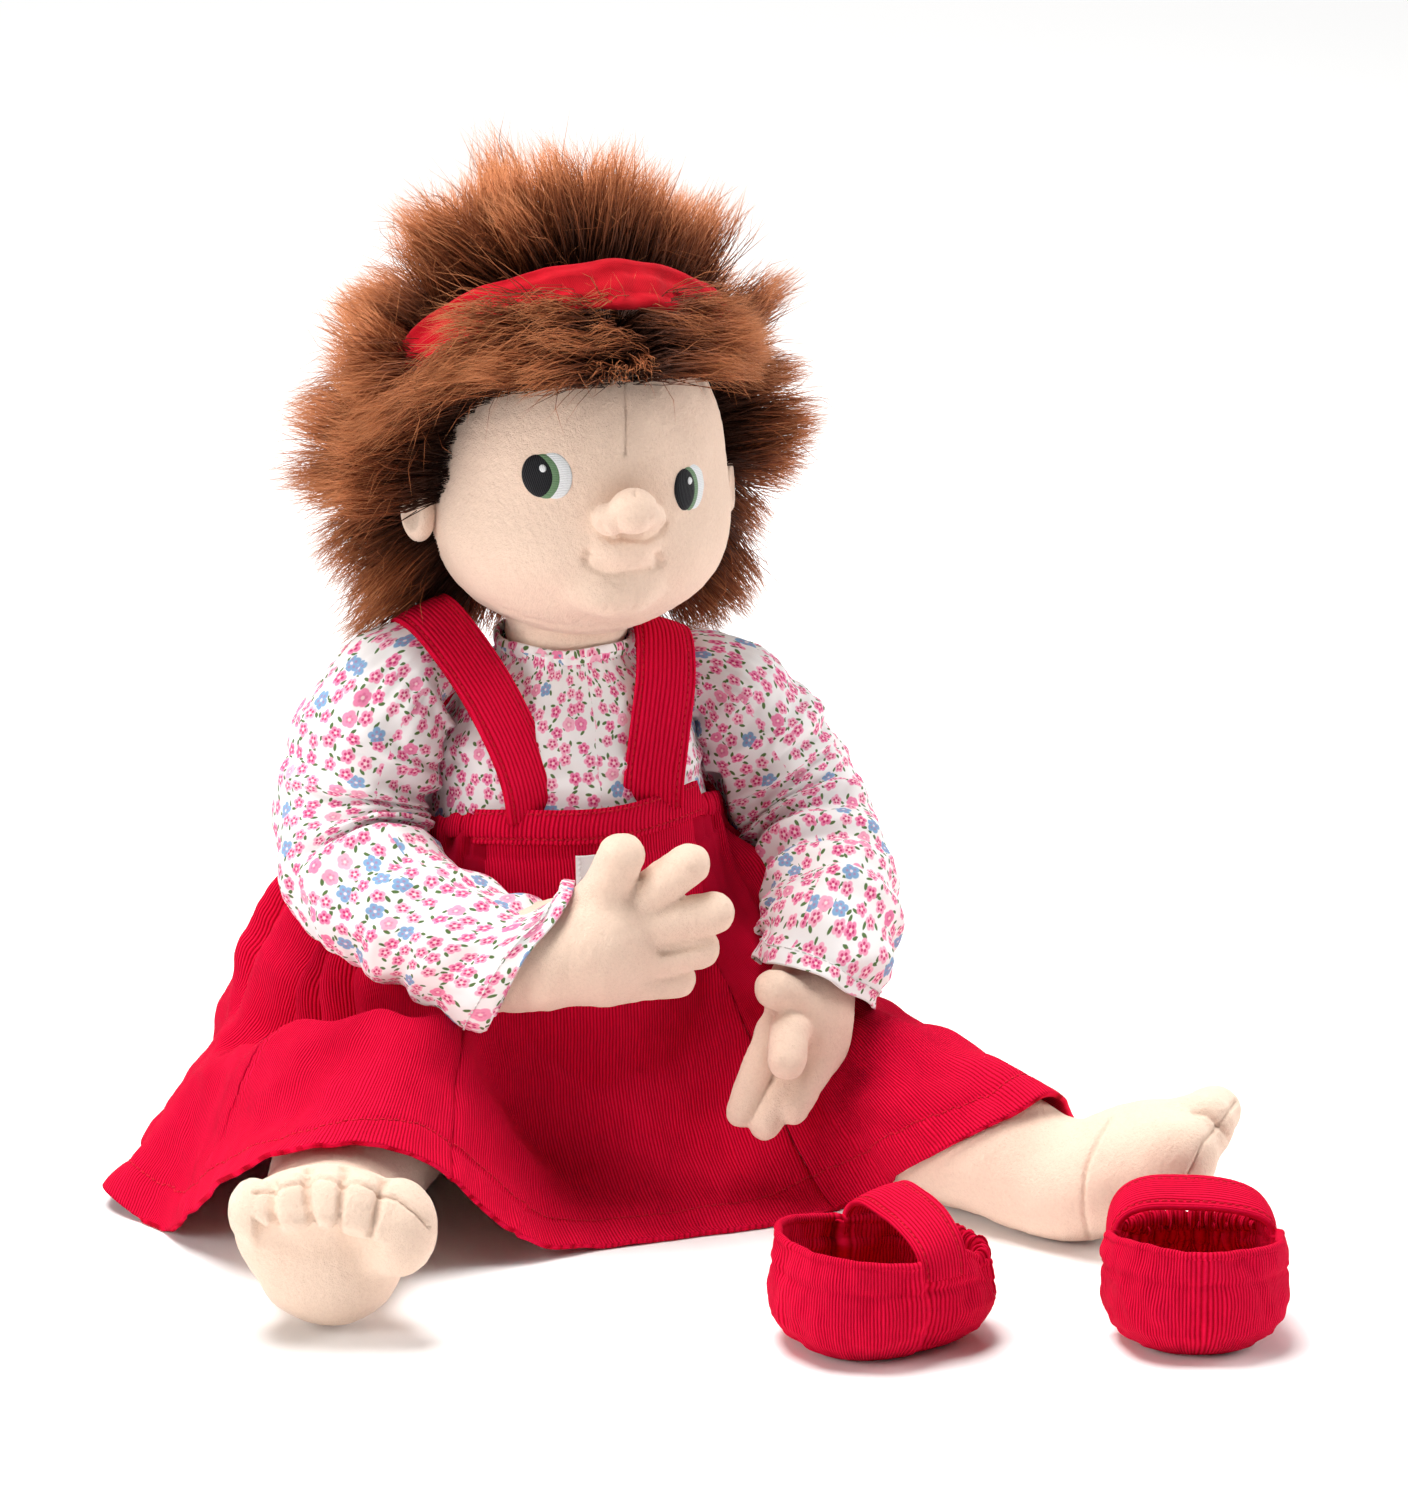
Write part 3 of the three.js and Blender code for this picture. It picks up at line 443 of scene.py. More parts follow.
# ------------------------------------------------------------------ materials
class Mat:
    def __init__(self, name, rough=0.9, sheen=0.0, sheen_rough=0.5, sheen_tint=(1, 1, 1), spec=0.3):
        self.m = bpy.data.materials.new(name)
        self.m.use_nodes = True
        self.t = self.m.node_tree
        self.p = self.t.nodes["Principled BSDF"]
        i = self.p.inputs
        i["Roughness"].default_value = rough
        i["Sheen Weight"].default_value = sheen
        i["Sheen Roughness"].default_value = sheen_rough
        i["Sheen Tint"].default_value = (*sheen_tint, 1)
        i["Specular IOR Level"].default_value = spec

    def node(self, kind, **kw):
        n = self.t.nodes.new(kind)
        for k, v in kw.items():
            setattr(n, k, v)
        return n

    def put(self, socket, value):
        if isinstance(value, bpy.types.NodeSocket):
            self.t.links.new(value, socket)
        else:
            socket.default_value = value

    def math(self, op, a, b=0.0, c=0.0, clamp=False):
        n = self.node("ShaderNodeMath", operation=op, use_clamp=clamp)
        for s, v in zip(n.inputs, (a, b, c)):
            self.put(s, v)
        return n.outputs[0]

    def mix(self, f, a, b):
        n = self.node("ShaderNodeMix", data_type="RGBA")
        self.put(n.inputs[0], f)
        for s, v in ((n.inputs[6], a), (n.inputs[7], b)):
            self.put(s, v if isinstance(v, bpy.types.NodeSocket) else (*v, 1))
        return n.outputs[2]

    def noise(self, vec, scale, detail=2.0, rough=0.5):
        n = self.node("ShaderNodeTexNoise")
        self.put(n.inputs["Vector"], vec)
        n.inputs["Scale"].default_value = scale
        n.inputs["Detail"].default_value = detail
        n.inputs["Roughness"].default_value = rough
        return n.outputs["Fac"]

    def rest(self):
        return self.node("ShaderNodeAttribute", attribute_name="rest").outputs["Vector"]

    def uv(self, name="UVMap"):
        return self.node("ShaderNodeUVMap", uv_map=name).outputs["UV"]

    def split(self, vec):
        n = self.node("ShaderNodeSeparateXYZ")
        self.put(n.inputs[0], vec)
        return n.outputs[0], n.outputs[1]

    def join(self, x, y, z=0.0):
        n = self.node("ShaderNodeCombineXYZ")
        for s, v in zip(n.inputs, (x, y, z)):
            self.put(s, v)
        return n.outputs[0]

    def ramp(self, fac, stops):
        n = self.node("ShaderNodeValToRGB")
        self.put(n.inputs[0], fac)
        e = n.color_ramp.elements
        while len(e) < len(stops):
            e.new(0.5)
        for k, (pos, col) in enumerate(stops):
            e[k].position = pos
            e[k].color = (*col, 1)
        return n.outputs[0]

    def bump(self, height, distance, strength=1.0, normal=None):
        n = self.node("ShaderNodeBump")
        n.inputs["Strength"].default_value = strength
        n.inputs["Distance"].default_value = distance
        self.put(n.inputs["Height"], height)
        if normal is not None:
            self.put(n.inputs["Normal"], normal)
        return n.outputs[0]

    def done(self, colour, normal=None):
        self.put(self.p.inputs["Base Color"], colour)
        if normal is not None:
            self.put(self.p.inputs["Normal"], normal)
        return self.m


def velour(name="velour", light=(0.83, 0.628, 0.500), dark=(0.770, 0.563, 0.440)):
    """Short-pile velour: a nubby nap with fine fibre."""
    m = Mat(name, rough=0.95, sheen=0.25, sheen_rough=0.45, sheen_tint=(1.0, 0.92, 0.86), spec=0.12)
    p = m.rest()
    broad, nap, fibre = m.noise(p, 0.07, 2), m.noise(p, 0.95, 3, 0.65), m.noise(p, 2.8, 2, 0.6)
    tone = m.math("ADD", m.math("MULTIPLY", broad, 0.14), m.math("ADD", m.math("MULTIPLY", nap, 0.55), m.math("MULTIPLY", fibre, 0.32)))
    colour = m.ramp(tone, [(0.33, dark), (0.50, light), (0.72, tuple(min(1, c * 1.07) for c in light))])
    n = m.bump(m.math("ADD", nap, m.math("MULTIPLY", fibre, 0.6)), 0.0009, 0.60)
    return m.done(colour, n)


def corduroy(name, light=(0.61, 0.0024, 0.029), dark=(0.24, 0.0005, 0.0045), pitch=WALE):
    """Cut-pile corduroy with its wales along V; the grooves between wales are darkened as painted shade and the wale
    crests lightened as painted highlight.
    """
    m = Mat(name, rough=0.88, sheen=0.07, sheen_rough=0.4, sheen_tint=(1.0, 0.06, 0.16), spec=0.03)
    uv = m.uv()
    x, y = m.split(uv)
    stretched = m.join(m.math("MULTIPLY", x, 1.0), m.math("MULTIPLY", y, 0.25))
    wander = m.noise(stretched, 0.22, 2)
    u = m.math("ADD", x, m.math("MULTIPLY", wander, 1.1))
    wave = m.math("COSINE", m.math("MULTIPLY", u, TAU / pitch))
    ridge = m.math("POWER", m.math("MULTIPLY_ADD", wave, 0.5, 0.5), 0.55)
    pile = m.noise(m.join(m.math("MULTIPLY", x, 2.2), m.math("MULTIPLY", y, 0.9)), 1.3, 3, 0.65)
    wear = m.noise(m.rest(), 0.055, 3)
    # colour: painted shade in the grooves between wales and a painted highlight on the wale crests, mixed with random
    # pile and wear tone
    tone = m.math("ADD", m.math("MULTIPLY", ridge, 0.62), m.math("ADD", m.math("MULTIPLY", pile, 0.30), m.math("MULTIPLY", wear, 0.22)))
    colour = m.ramp(tone, [(0.16, dark), (0.62, light), (0.98, (0.75, 0.007, 0.055))])
    n = m.bump(m.math("ADD", ridge, m.math("MULTIPLY", pile, 0.35)), 0.00042, 0.75)
    return m.done(colour, n)


def cotton(name):
    """White cotton with a scattered print of small five-petalled flowers and leaves."""
    m = Mat(name, rough=0.85, sheen=0.08, sheen_rough=0.4, spec=0.25)
    uv = m.uv()
    x, y = m.split(uv)

    def cells(scale, randomness, shift):
        v = m.node("ShaderNodeTexVoronoi", voronoi_dimensions="2D", feature="F1")
        m.put(v.inputs["Vector"], m.join(m.math("ADD", x, shift), m.math("ADD", y, shift * 0.7)))
        v.inputs["Scale"].default_value = scale
        v.inputs["Randomness"].default_value = randomness
        px, py = m.split(v.outputs["Position"])
        c = m.node("ShaderNodeSeparateColor")
        m.put(c.inputs[0], v.outputs["Color"])
        dx = m.math("SUBTRACT", m.math("ADD", x, shift), px)
        dy = m.math("SUBTRACT", m.math("ADD", y, shift * 0.7), py)
        return dx, dy, c.outputs[0], c.outputs[1], c.outputs[2]

    def soft(value, width):
        return m.math("MULTIPLY_ADD", value, 1.0 / width, 0.5, clamp=True)

    dx, dy, r1, r2, r3 = cells(1 / 5.7, 0.60, 31.0)
    rad = m.math("SQRT", m.math("ADD", m.math("MULTIPLY", dx, dx), m.math("MULTIPLY", dy, dy)))
    turn = m.math("MULTIPLY", r1, TAU)
    ang = m.math("ADD", m.math("ARCTAN2", dy, dx), m.math("ADD", turn, TAU))
    blue = m.math("GREATER_THAN", r2, 0.925)
    full = m.math("MULTIPLY", m.math("GREATER_THAN", r2, 0.80), m.math("LESS_THAN", r2, 0.925))
    size = m.math("ADD", 2.12, m.math("ADD", m.math("MULTIPLY", blue, 0.55), m.math("MULTIPLY", full, 0.30)))
    fifth = m.math("SUBTRACT", m.math("MODULO", ang, TAU / 5), TAU / 10)
    lobe = m.math("MULTIPLY", size, m.math("SUBTRACT", 0.60, m.math("MULTIPLY", full, 0.12)))
    qx = m.math("SUBTRACT", m.math("MULTIPLY", rad, m.math("COSINE", fifth)), lobe)
    qy = m.math("MULTIPLY", rad, m.math("SINE", fifth))
    far = m.math("SQRT", m.math("ADD", m.math("MULTIPLY", qx, qx), m.math("MULTIPLY", qy, qy)))
    petal = soft(m.math("SUBTRACT", m.math("MULTIPLY", size, m.math("ADD", 0.42, m.math("MULTIPLY", full, 0.10))), far), 0.30)
    petal = m.math("MAXIMUM", petal, soft(m.math("SUBTRACT", m.math("MULTIPLY", size, 0.42), rad), 0.30))
    pink = m.mix(r3, (0.80, 0.20, 0.38), (0.88, 0.44, 0.56))
    tint = m.mix(blue, pink, (0.21, 0.37, 0.58))
    dot = m.math("MULTIPLY", soft(m.math("SUBTRACT", 0.42, m.math("SQRT", m.math("ADD", m.math("POWER", m.math("ADD", qx, 0.35), 2.0), m.math("MULTIPLY", qy, qy)))), 0.25), m.math("SUBTRACT", 0.9, m.math("MULTIPLY", full, 0.6)))
    tint = m.mix(m.math("MULTIPLY", dot, m.math("SUBTRACT", 1.0, m.math("MULTIPLY", blue, 0.6))), tint, (0.56, 0.015, 0.13))
    heart = soft(m.math("SUBTRACT", 0.46, rad), 0.25)
    tint = m.mix(m.math("MULTIPLY", heart, 0.8), tint, (0.93, 0.72, 0.70))
    # leaves beside each flower
    leaf = None
    for off, lean, gap in ((1.9, 0.9, 0.85), (4.4, -0.8, 0.85)):
        a = m.math("ADD", m.math("MULTIPLY", r3, TAU), off)
        lx = m.math("SUBTRACT", dx, m.math("MULTIPLY", m.math("COSINE", a), m.math("ADD", size, gap - 0.4)))
        ly = m.math("SUBTRACT", dy, m.math("MULTIPLY", m.math("SINE", a), m.math("ADD", size, gap - 0.4)))
        c, s = m.math("COSINE", m.math("ADD", a, lean)), m.math("SINE", m.math("ADD", a, lean))
        ex = m.math("MULTIPLY", m.math("ADD", m.math("MULTIPLY", lx, c), m.math("MULTIPLY", ly, s)), 1 / 1.05)
        ey = m.math("MULTIPLY", m.math("SUBTRACT", m.math("MULTIPLY", ly, c), m.math("MULTIPLY", lx, s)), 1 / 0.50)
        q = m.math("SUBTRACT", 1.0, m.math("ADD", m.math("MULTIPLY", ex, ex), m.math("MULTIPLY", ey, ey)))
        q = soft(q, 0.6)
        leaf = q if leaf is None else m.math("MAXIMUM", leaf, q)
    weave = m.math("MULTIPLY", m.math("SINE", m.math("MULTIPLY", x, TAU / 0.42)), m.math("SINE", m.math("MULTIPLY", y, TAU / 0.42)))
    soil = m.noise(m.rest(), 0.05, 3)
    ground = m.mix(soil, (0.80, 0.765, 0.765), (0.90, 0.875, 0.87))
    colour = m.mix(leaf, ground, (0.085, 0.16, 0.045))
    colour = m.mix(petal, colour, tint)
    cloth = m.noise(m.join(m.math("MULTIPLY", x, 1.0), m.math("MULTIPLY", y, 1.0)), 2.6, 2)
    n = m.bump(m.math("ADD", m.math("MULTIPLY", weave, 0.5), m.math("MULTIPLY", cloth, 0.5)), 0.00012, 0.5)
    return m.done(colour, n)


def fur(name, light=1.0):
    """Long pile: darkened towards the root as painted shade and lightened at the tip as painted highlight, each strand
    a little different.
    """
    m = Mat(name, rough=0.55, sheen=0.0, spec=0.22)
    u, v = m.split(m.uv("OFBake"))
    each = m.noise(m.join(m.math("MULTIPLY", u, 90.0), 0.0), 1.0, 2, 0.6)
    shift = m.math("ADD", v, m.math("MULTIPLY_ADD", each, 0.36, -0.18), clamp=True)
    k = light
    # along each strand the ramp paints shade at the root and highlight at the tip
    colour = m.ramp(
        shift,
        [(0.0, (0.014 * k, 0.004 * k, 0.002 * k)), (0.34, (0.058 * k, 0.015 * k, 0.005 * k)), (0.62, (0.235 * k, 0.064 * k, 0.021 * k)), (0.86, (0.500 * k, 0.172 * k, 0.064 * k)), (1.0, (0.640 * k, 0.270 * k, 0.120 * k))],
    )
    return m.done(colour)


def thread(name, colour, shade, across=1.9, spec=0.5, sheen=0.1):
    """Satin stitch: close parallel threads along V."""
    m = Mat(name, rough=0.5, sheen=sheen, spec=spec)
    x, y = m.split(m.uv())
    w = m.math("SINE", m.math("MULTIPLY", m.math("ADD", x, m.math("MULTIPLY", m.noise(m.rest(), 1.4, 2), 0.25)), TAU / (1 / across)))
    lay = m.math("MULTIPLY_ADD", w, 0.5, 0.5)
    fleck = m.noise(m.rest(), 3.0, 2)
    c = m.mix(m.math("MULTIPLY_ADD", lay, 0.6, m.math("MULTIPLY", fleck, 0.4)), shade, colour)
    return m.done(c, m.bump(m.math("ADD", lay, fleck), 0.00022, 0.6))


def plain_cloth(name, light, dark, pitch=0.55, rough=0.85):
    """A plain fine weave or knit."""
    m = Mat(name, rough=rough, sheen=0.05, sheen_rough=0.4, spec=0.10)
    x, y = m.split(m.uv())
    w = m.math("MULTIPLY", m.math("SINE", m.math("MULTIPLY", x, TAU / pitch)), m.math("SINE", m.math("MULTIPLY", y, TAU / pitch)))
    big = m.noise(m.rest(), 0.12, 3)
    tone = m.math("ADD", m.math("MULTIPLY_ADD", w, 0.22, 0.25), m.math("MULTIPLY", big, 0.5))
    return m.done(m.ramp(tone, [(0.2, dark), (0.7, light)]), m.bump(w, 0.00015, 0.5))


def fibre(name, light, dark, scale):
    m = Mat(name, rough=1.0, sheen=0.2, spec=0.1)
    f = m.noise(m.node("ShaderNodeTexCoord").outputs["Object"], scale, 4, 0.7)
    return m.done(m.ramp(f, [(0.3, dark), (0.7, light)]), m.bump(f, 0.001, 0.5))


SKIN = velour()
RED = corduroy("red_corduroy")
RED_EDGE = corduroy("red_corduroy_folded", light=(0.56, 0.0022, 0.026), dark=(0.20, 0.0004, 0.005))
RED_FINE = corduroy("red_corduroy_fine", pitch=WALE * 0.74)
PRINT = cotton("printed_cotton")
RED_THREAD = plain_cloth("red_thread", (0.62, 0.012, 0.035), (0.36, 0.003, 0.015), 0.4)
WHITE_THREAD = plain_cloth("white_thread", (0.86, 0.84, 0.83), (0.66, 0.63, 0.62), 0.4)
BAND_CLOTH = plain_cloth("headband_cloth", (0.56, 0.006, 0.018), (0.34, 0.002, 0.007), 0.6)
TAPE = plain_cloth("white_tape", (0.88, 0.87, 0.86), (0.72, 0.71, 0.70), 0.5)
FUR = fur("fur_pile")
FUR_BASE = fibre("fur_backing", (0.085, 0.030, 0.016), (0.030, 0.011, 0.006), 400.0)
BLACK = thread("thread_black", (0.016, 0.016, 0.019), (0.004, 0.004, 0.006), spec=0.15, sheen=0.02)
GREEN = thread("thread_green", (0.16, 0.30, 0.14), (0.07, 0.15, 0.07))
WHITE = thread("thread_white", (0.86, 0.87, 0.88), (0.62, 0.64, 0.66))
FILL = fibre("filling_fibre", (0.90, 0.89, 0.85), (0.74, 0.72, 0.68), 300.0)
PELLETS = fibre("pellet_bag_cotton", (0.78, 0.75, 0.68), (0.58, 0.55, 0.48), 220.0)


# ------------------------------------------------------------------ helpers for pieces
class Points(Field):
    """Distances at loose points."""

    def __init__(self, P):
        self.X, self.Y, self.Z = (np.asarray(P[..., k], np.float32) for k in range(3))


def gradient(shape, P, h=0.4):
    g = np.stack([shape(Points(P + e)) - shape(Points(P - e)) for e in np.eye(3) * h], -1)
    return unit(g.astype(float))


def onto_front(shape, x, z, y0=-75.0):
    """Where lines along Y from the front meet a shape."""
    x, z = np.broadcast_arrays(np.asarray(x, float), np.asarray(z, float))
    y = np.full(x.shape, y0)
    for _ in range(40):
        y = y + np.clip(shape(Points(np.stack([x, y, z], -1))), -3, 6) * 0.85
    return np.stack([x, y, z], -1)


def seen(P):
    """Where points stand in the picture, in its own pixels."""
    x, y, z = P[..., 0], P[..., 1], P[..., 2]
    s = 2200.0 / (2200.0 - (-0.2985 * x - 0.9186 * y + 0.2588 * z))
    return np.stack([(-137 + (0.951 * x - 0.309 * y) / 0.32) * s + 704, (400 - (0.08 * x + 0.246 * y + 0.966 * z) / 0.32) * s + 750], -1)


TO_CAMERA = unit(np.array([-0.2985, -0.9186, 0.2588]))


def foremost(V, reach):
    """One on what lies within reach of the nearest point to the front, none behind it."""
    t = V @ TO_CAMERA
    return sstep(-reach - 5.0, -reach, t - t.max())


def drawn_in(V, N, lines, move=(0, 0), reach=None):
    """Depth of sewn lines that are given as they appear from the front."""
    q = seen(V)
    face = sstep(0.0, 0.25, N @ TO_CAMERA)
    if reach:
        face = face * foremost(V, reach)
    shift = np.zeros(len(V))
    for line, depth, width in lines:
        p = np.array(line, float) + move
        k = np.arange(len(p))
        fine = np.linspace(0, len(p) - 1, 12 * len(p))
        p = np.stack([np.interp(fine, k, p[:, c]) for c in (0, 1)], 1)
        near = np.flatnonzero((np.abs(q - (p.min(0) + p.max(0)) / 2) < (p.max(0) - p.min(0)) / 2 + 4 * width).all(1) & (face > 0))
        if len(near):
            d = np.sqrt(((q[near][:, None] - p[None]) ** 2).sum(2).min(1))
            shift[near] -= depth * np.exp(-((d / width) ** 2)) * face[near]
    return shift


def outward(V, F):
    """Turns faces so that a closed mesh has a positive volume."""
    a, b, c = V[F[:, 0]], V[F[:, 1]], V[F[:, 2]]
    vol = np.sum(a * np.cross(b, c))
    if F.shape[1] == 4:
        d = V[F[:, 3]]
        vol += np.sum(a * np.cross(c, d))
    return F if vol > 0 else F[:, ::-1]


def torus(b, P, U, V, mat=0):
    """Rows and columns that both close on themselves. U and V have one more row and column than P."""
    nv, nu = P.shape[:2]
    jj, ii = (a.ravel() for a in np.meshgrid(np.arange(nv), np.arange(nu), indexing="ij"))
    j2, i2 = (jj + 1) % nv, (ii + 1) % nu
    F = np.stack([jj * nu + ii, jj * nu + i2, j2 * nu + i2, j2 * nu + ii], -1)
    at = lambda j, i: np.stack([U[j, i], V[j, i]], -1)
    uv = np.stack([at(jj, ii), at(jj, ii + 1), at(jj + 1, ii + 1), at(jj + 1, ii)], 1)
    W = P.reshape(-1, 3)
    F2 = outward(W, F)
    b.add(W, F2, uv if F2 is F else uv[:, ::-1], mat)


def solid_rows(name, P, U, V, *mats):
    b = Build()
    closed_rows(b, P, U, V)
    W = np.vstack(b.v)
    q = outward(W, b.f[0])
    if q is not b.f[0]:
        b.f = [f[:, ::-1] for f in b.f]
        b.uv = [u[:, ::-1] for u in b.uv]
    return b.obj(name, *mats)


def place(piece, body, slot, *nodes):
    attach(piece, body)
    if nodes:
        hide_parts(*nodes)
    return piece


# ------------------------------------------------------------------ head, ears, eyes, neck and trunk
def face_base(f):
    d = smin(f.ball(HEAD_C, HEAD_R), f.ball((5, -3, 205), (44.5, 45, 30)), 12)
    d = smin(d, f.ball((5, -50.0, 209), (8.5, 5, 6)), 5)
    d = smin(d, f.ball((3, -45, 193), (12, 7, 7)), 8)
    nose = f.ball((5, -56.8, 222.0), (7.4, 7.6, 7.2))
    for x in (-1.6, 11.6):
        nose = smin(nose, f.ball((x, -53.0, 218.9), (4.9, 6, 4.7)), 2.0)
    return smin(d, nose, 1.4)


def on_face(points):
    p = np.array(points, float)
    return onto_front(face_base, p[:, 0], p[:, 1])


def make_head():
    f = Field((-45, -68, 168), (55, 58, 284), 0.7)
    V, F = f.mesh(face_base(f))
    V = relax(V, F, 2, 0.5)
    N = gradient(face_base, V)
    folds = [
        (on_face([(8.0, 262), (7.2, 250), (5.6, 238), (4.6, 228)]), 1.0, 0.75),
        (on_face([(1.5, 198), (-1.5, 190), (-5, 182)]), 0.45, 1.0),
        (on_face([(7.0, 197), (6.5, 190), (4.0, 181)]), 0.40, 1.0),
        (on_face([(-24, 184.5), (-14, 181.0), (-2, 179.5), (10, 180), (20, 182)]), 0.7, 1.6),
    ]
    pts = Points(V)
    shift = np.zeros(len(V))
    for line, depth, width in folds:
        shift -= depth * np.exp(-((pts.near(line) / width) ** 2))
    # mouth, the corners beside it, and the outline under the nose
    shift += drawn_in(V, N, [
        ([(593, 568.5), (602, 572.5), (610, 574.5), (620, 574), (634, 571.5), (649, 568.5)], 0.9, 2.6),
        ([(588.5, 553), (586.8, 558), (588, 563)], 1.3, 4.0), ([(656.5, 555), (658.6, 560), (657, 565)], 1.3, 4.0),
        ([(609, 581), (616, 582.5), (625, 581)], 0.4, 2.6),
        ([(600, 523), (604, 533), (613, 539.5), (622, 537.5), (629, 538), (638, 538.5), (648, 539), (659, 533), (665, 524)], 1.1, 3.2),
        ([(616, 517), (617, 526), (621, 534)], 0.5, 3.0), ([(650.5, 514), (650.5, 525), (647, 534)], 0.5, 3.0),
    ])
    # soft swellings: cheeks beside the mouth, lips above and below it
    shift += 1.5 * np.exp(-(((V[:, 0] + 20) / 13) ** 2 + ((V[:, 2] - 203) / 12) ** 2)) * (V[:, 1] < 0)
    shift += 1.5 * np.exp(-(((V[:, 0] - 27) / 13) ** 2 + ((V[:, 2] - 203) / 12) ** 2)) * (V[:, 1] < 0)
    shift += 0.3 * np.exp(-(((V[:, 0] - 3) / 6) ** 2 + ((V[:, 2] - 197.6) / 2.2) ** 2)) * (V[:, 1] < 0)
    shift += 0.35 * wob(V, 26, 3) + 0.10 * wob(V, 5, 4)
    V = V + N * shift[:, None]
    head = stuffed("head", V, outward(V, F), SKIN)
    place(head, "head", "velour", "head_skin", "nose")


def make_ears():
    for side, x, s in (("right", -44.5, -1), ("left", 52.6, 1)):
        yy = 3.5 if s < 0 else 7.5
        f = Field((x - 12, -10, 196), (x + 12, 22, 230), 0.5)
        d = f.ball((x + 1.5 * s, yy, 212.5), (5.4, 7.6, 10))
        dish = f.ball((x + 6.4 * s, yy - 4.5, 213.5), (3.6, 5.0, 6.6))
        d = smax(d, -dish, 2.0)
        V, F = f.mesh(d)
        V = relax(V, F, 2, 0.5)
        ear = stuffed("ear_" + side + "_piece", V, outward(V, F), SKIN)
        place(ear, "head", "velour", "ear_" + side)


def eye_patch(name, cx, cz, hx, hz, lift, mat, slot, node, turn):
    n, m = 14, 44
    t = np.arange(m) * TAU / m
    rho = np.concatenate([np.linspace(0.02, 0.9, n - 4), [0.95, 0.98, 1.0, 1.0]])[:, None]
    x, z = cx + rho * hx * np.cos(t), cz + rho * hz * np.sin(t)
    P = onto_front(face_base, x, z)
    up = lift * np.sqrt(np.clip(1 - rho**5, 0, 1))
    up[-1] = -0.7
    N = gradient(face_base, P)
    P = P + N * up[..., None]
    a = math.radians(turn)
    x1, z1 = np.concatenate([x, x[:, :1]], 1), np.concatenate([z, z[:, :1]], 1)
    U, V = x1 * math.cos(a) + z1 * math.sin(a), z1 * math.cos(a) - x1 * math.sin(a)
    place(solid_rows(name, P, U, V, mat), "head", slot, node)


def make_eyes():
    for side, x, z, t, w in (("right", -20.0, 231.0, 14, 0.90), ("left", 25.4, 224.4, -8, 0.80)):
        e = "eye_" + side + "_"
        eye_patch(e + "white_patch", x + 4.5 * w, z + 0.3, 5.6 * w, 7.0, 0.55, WHITE, "thread_white", e + "white", 88)
        eye_patch(e + "iris_patch", x + 1.7 * w, z, 5.1 * w, 6.8, 0.85, GREEN, "thread_green", e + "iris", 84 + t)
        eye_patch(e + "pupil_patch", x, z, 4.9 * w, 6.5, 1.15, BLACK, "thread_black", e + "pupil", t)
        eye_patch(e + "glint_patch", x + 1.5 * w, z + 2.5, 1.15 * w, 1.35, 1.55, WHITE, "thread_white", e + "glint", t)


def ring_uv(P, around=None):
    """Millimetre coordinates for rings: around the ring at its mean size, and along the rows."""
    nv, nu = P.shape[:2]
    step = np.linalg.norm(np.roll(P, -1, 1) - P, axis=2).sum(1).mean() if around is None else around
    U = np.broadcast_to(np.linspace(0, step, nu + 1), (nv, nu + 1)).copy()
    run = np.concatenate([[0], np.cumsum(np.linalg.norm(np.diff(P, axis=0), axis=2).mean(1))])
    return U, np.broadcast_to(run[:, None], (nv, nu + 1)).copy()


def make_trunk():
    t = np.arange(96) * TAU / 96
    z = np.array([0.2, 1.0, 2.5, 4.5, 7, 10, 14, 19, 25, 33, 42, 52, 62, 72, 82, 92, 102, 112, 120, 128, 136, 143, 149, 154, 158, 161, 163])
    rx, ry = np.interp(z, TORSO[:, 0], TORSO[:, 1]), np.interp(z, TORSO[:, 0], TORSO[:, 2])
    P = np.stack([rx[:, None] * np.sin(t), -ry[:, None] * np.cos(t), np.broadcast_to(z[:, None], (len(z), 96))], -1)
    P[2:-2] += 0.0
    trunk = solid_rows("torso", P, *ring_uv(P), SKIN)
    place(trunk, "torso", "velour", "torso_skin")
    z = np.linspace(159, 185, 40)
    r = 18.6 + 0.7 * np.cos((z - 172) / 13 * math.pi) + 3.4 * sstep(171, 184, z)
    cx, cy = np.interp(z, [159, 172, 185], [0, 0.6, 2.2]), np.interp(z, [159, 172, 185], [0, -0.5, -1.5])
    P = np.stack([cx[:, None] + r[:, None] * np.sin(t), cy[:, None] - r[:, None] * np.cos(t), np.broadcast_to(z[:, None], (40, 96))], -1)
    N = unit(P - np.stack([cx, cy, z], 1)[:, None])
    dent = -0.9 * bell(P[..., 2] - 1.2 * np.sin(2 * t + 0.6), 168.5, 1.5) - 0.6 * bell(P[..., 2] + 1.0 * np.sin(t * 3), 175.0, 1.4) + 0.35 * wob(P, 14, 21)
    P = P + N * dent[..., None]
    neck = solid_rows("neck_tube", P, *ring_uv(P), SKIN)
    place(neck, "neck", "velour", "neck_skin")


make_head()
make_ears()
make_eyes()
make_trunk()


# ------------------------------------------------------------------ wig and headband
EAR_AT = ((-45, 4, 212), (55, 4, 212))


def under_wig(P):
    x, y, z = P[..., 0], P[..., 1], P[..., 2]
    face = (np.abs((x - 6.5) / 47.5) ** 3.4 + np.abs((z - 214) / 45.0) ** 3.4 < 1) & (y < 2)
    low = (z < np.where(y > 6, 188, 199)) | ((y < -4) & (z < 211))
    out = face | low
    for c in EAR_AT:
        out |= ((x - c[0]) / 7) ** 2 + ((y - c[1] - 1) / 8.5) ** 2 + ((z - c[2]) / 10.5) ** 2 < 1
    return ~out


def band_side(P):
    """Signed distance from the headband's plane: positive in front of and below it."""
    return (P - BAND_C) @ BAND_N


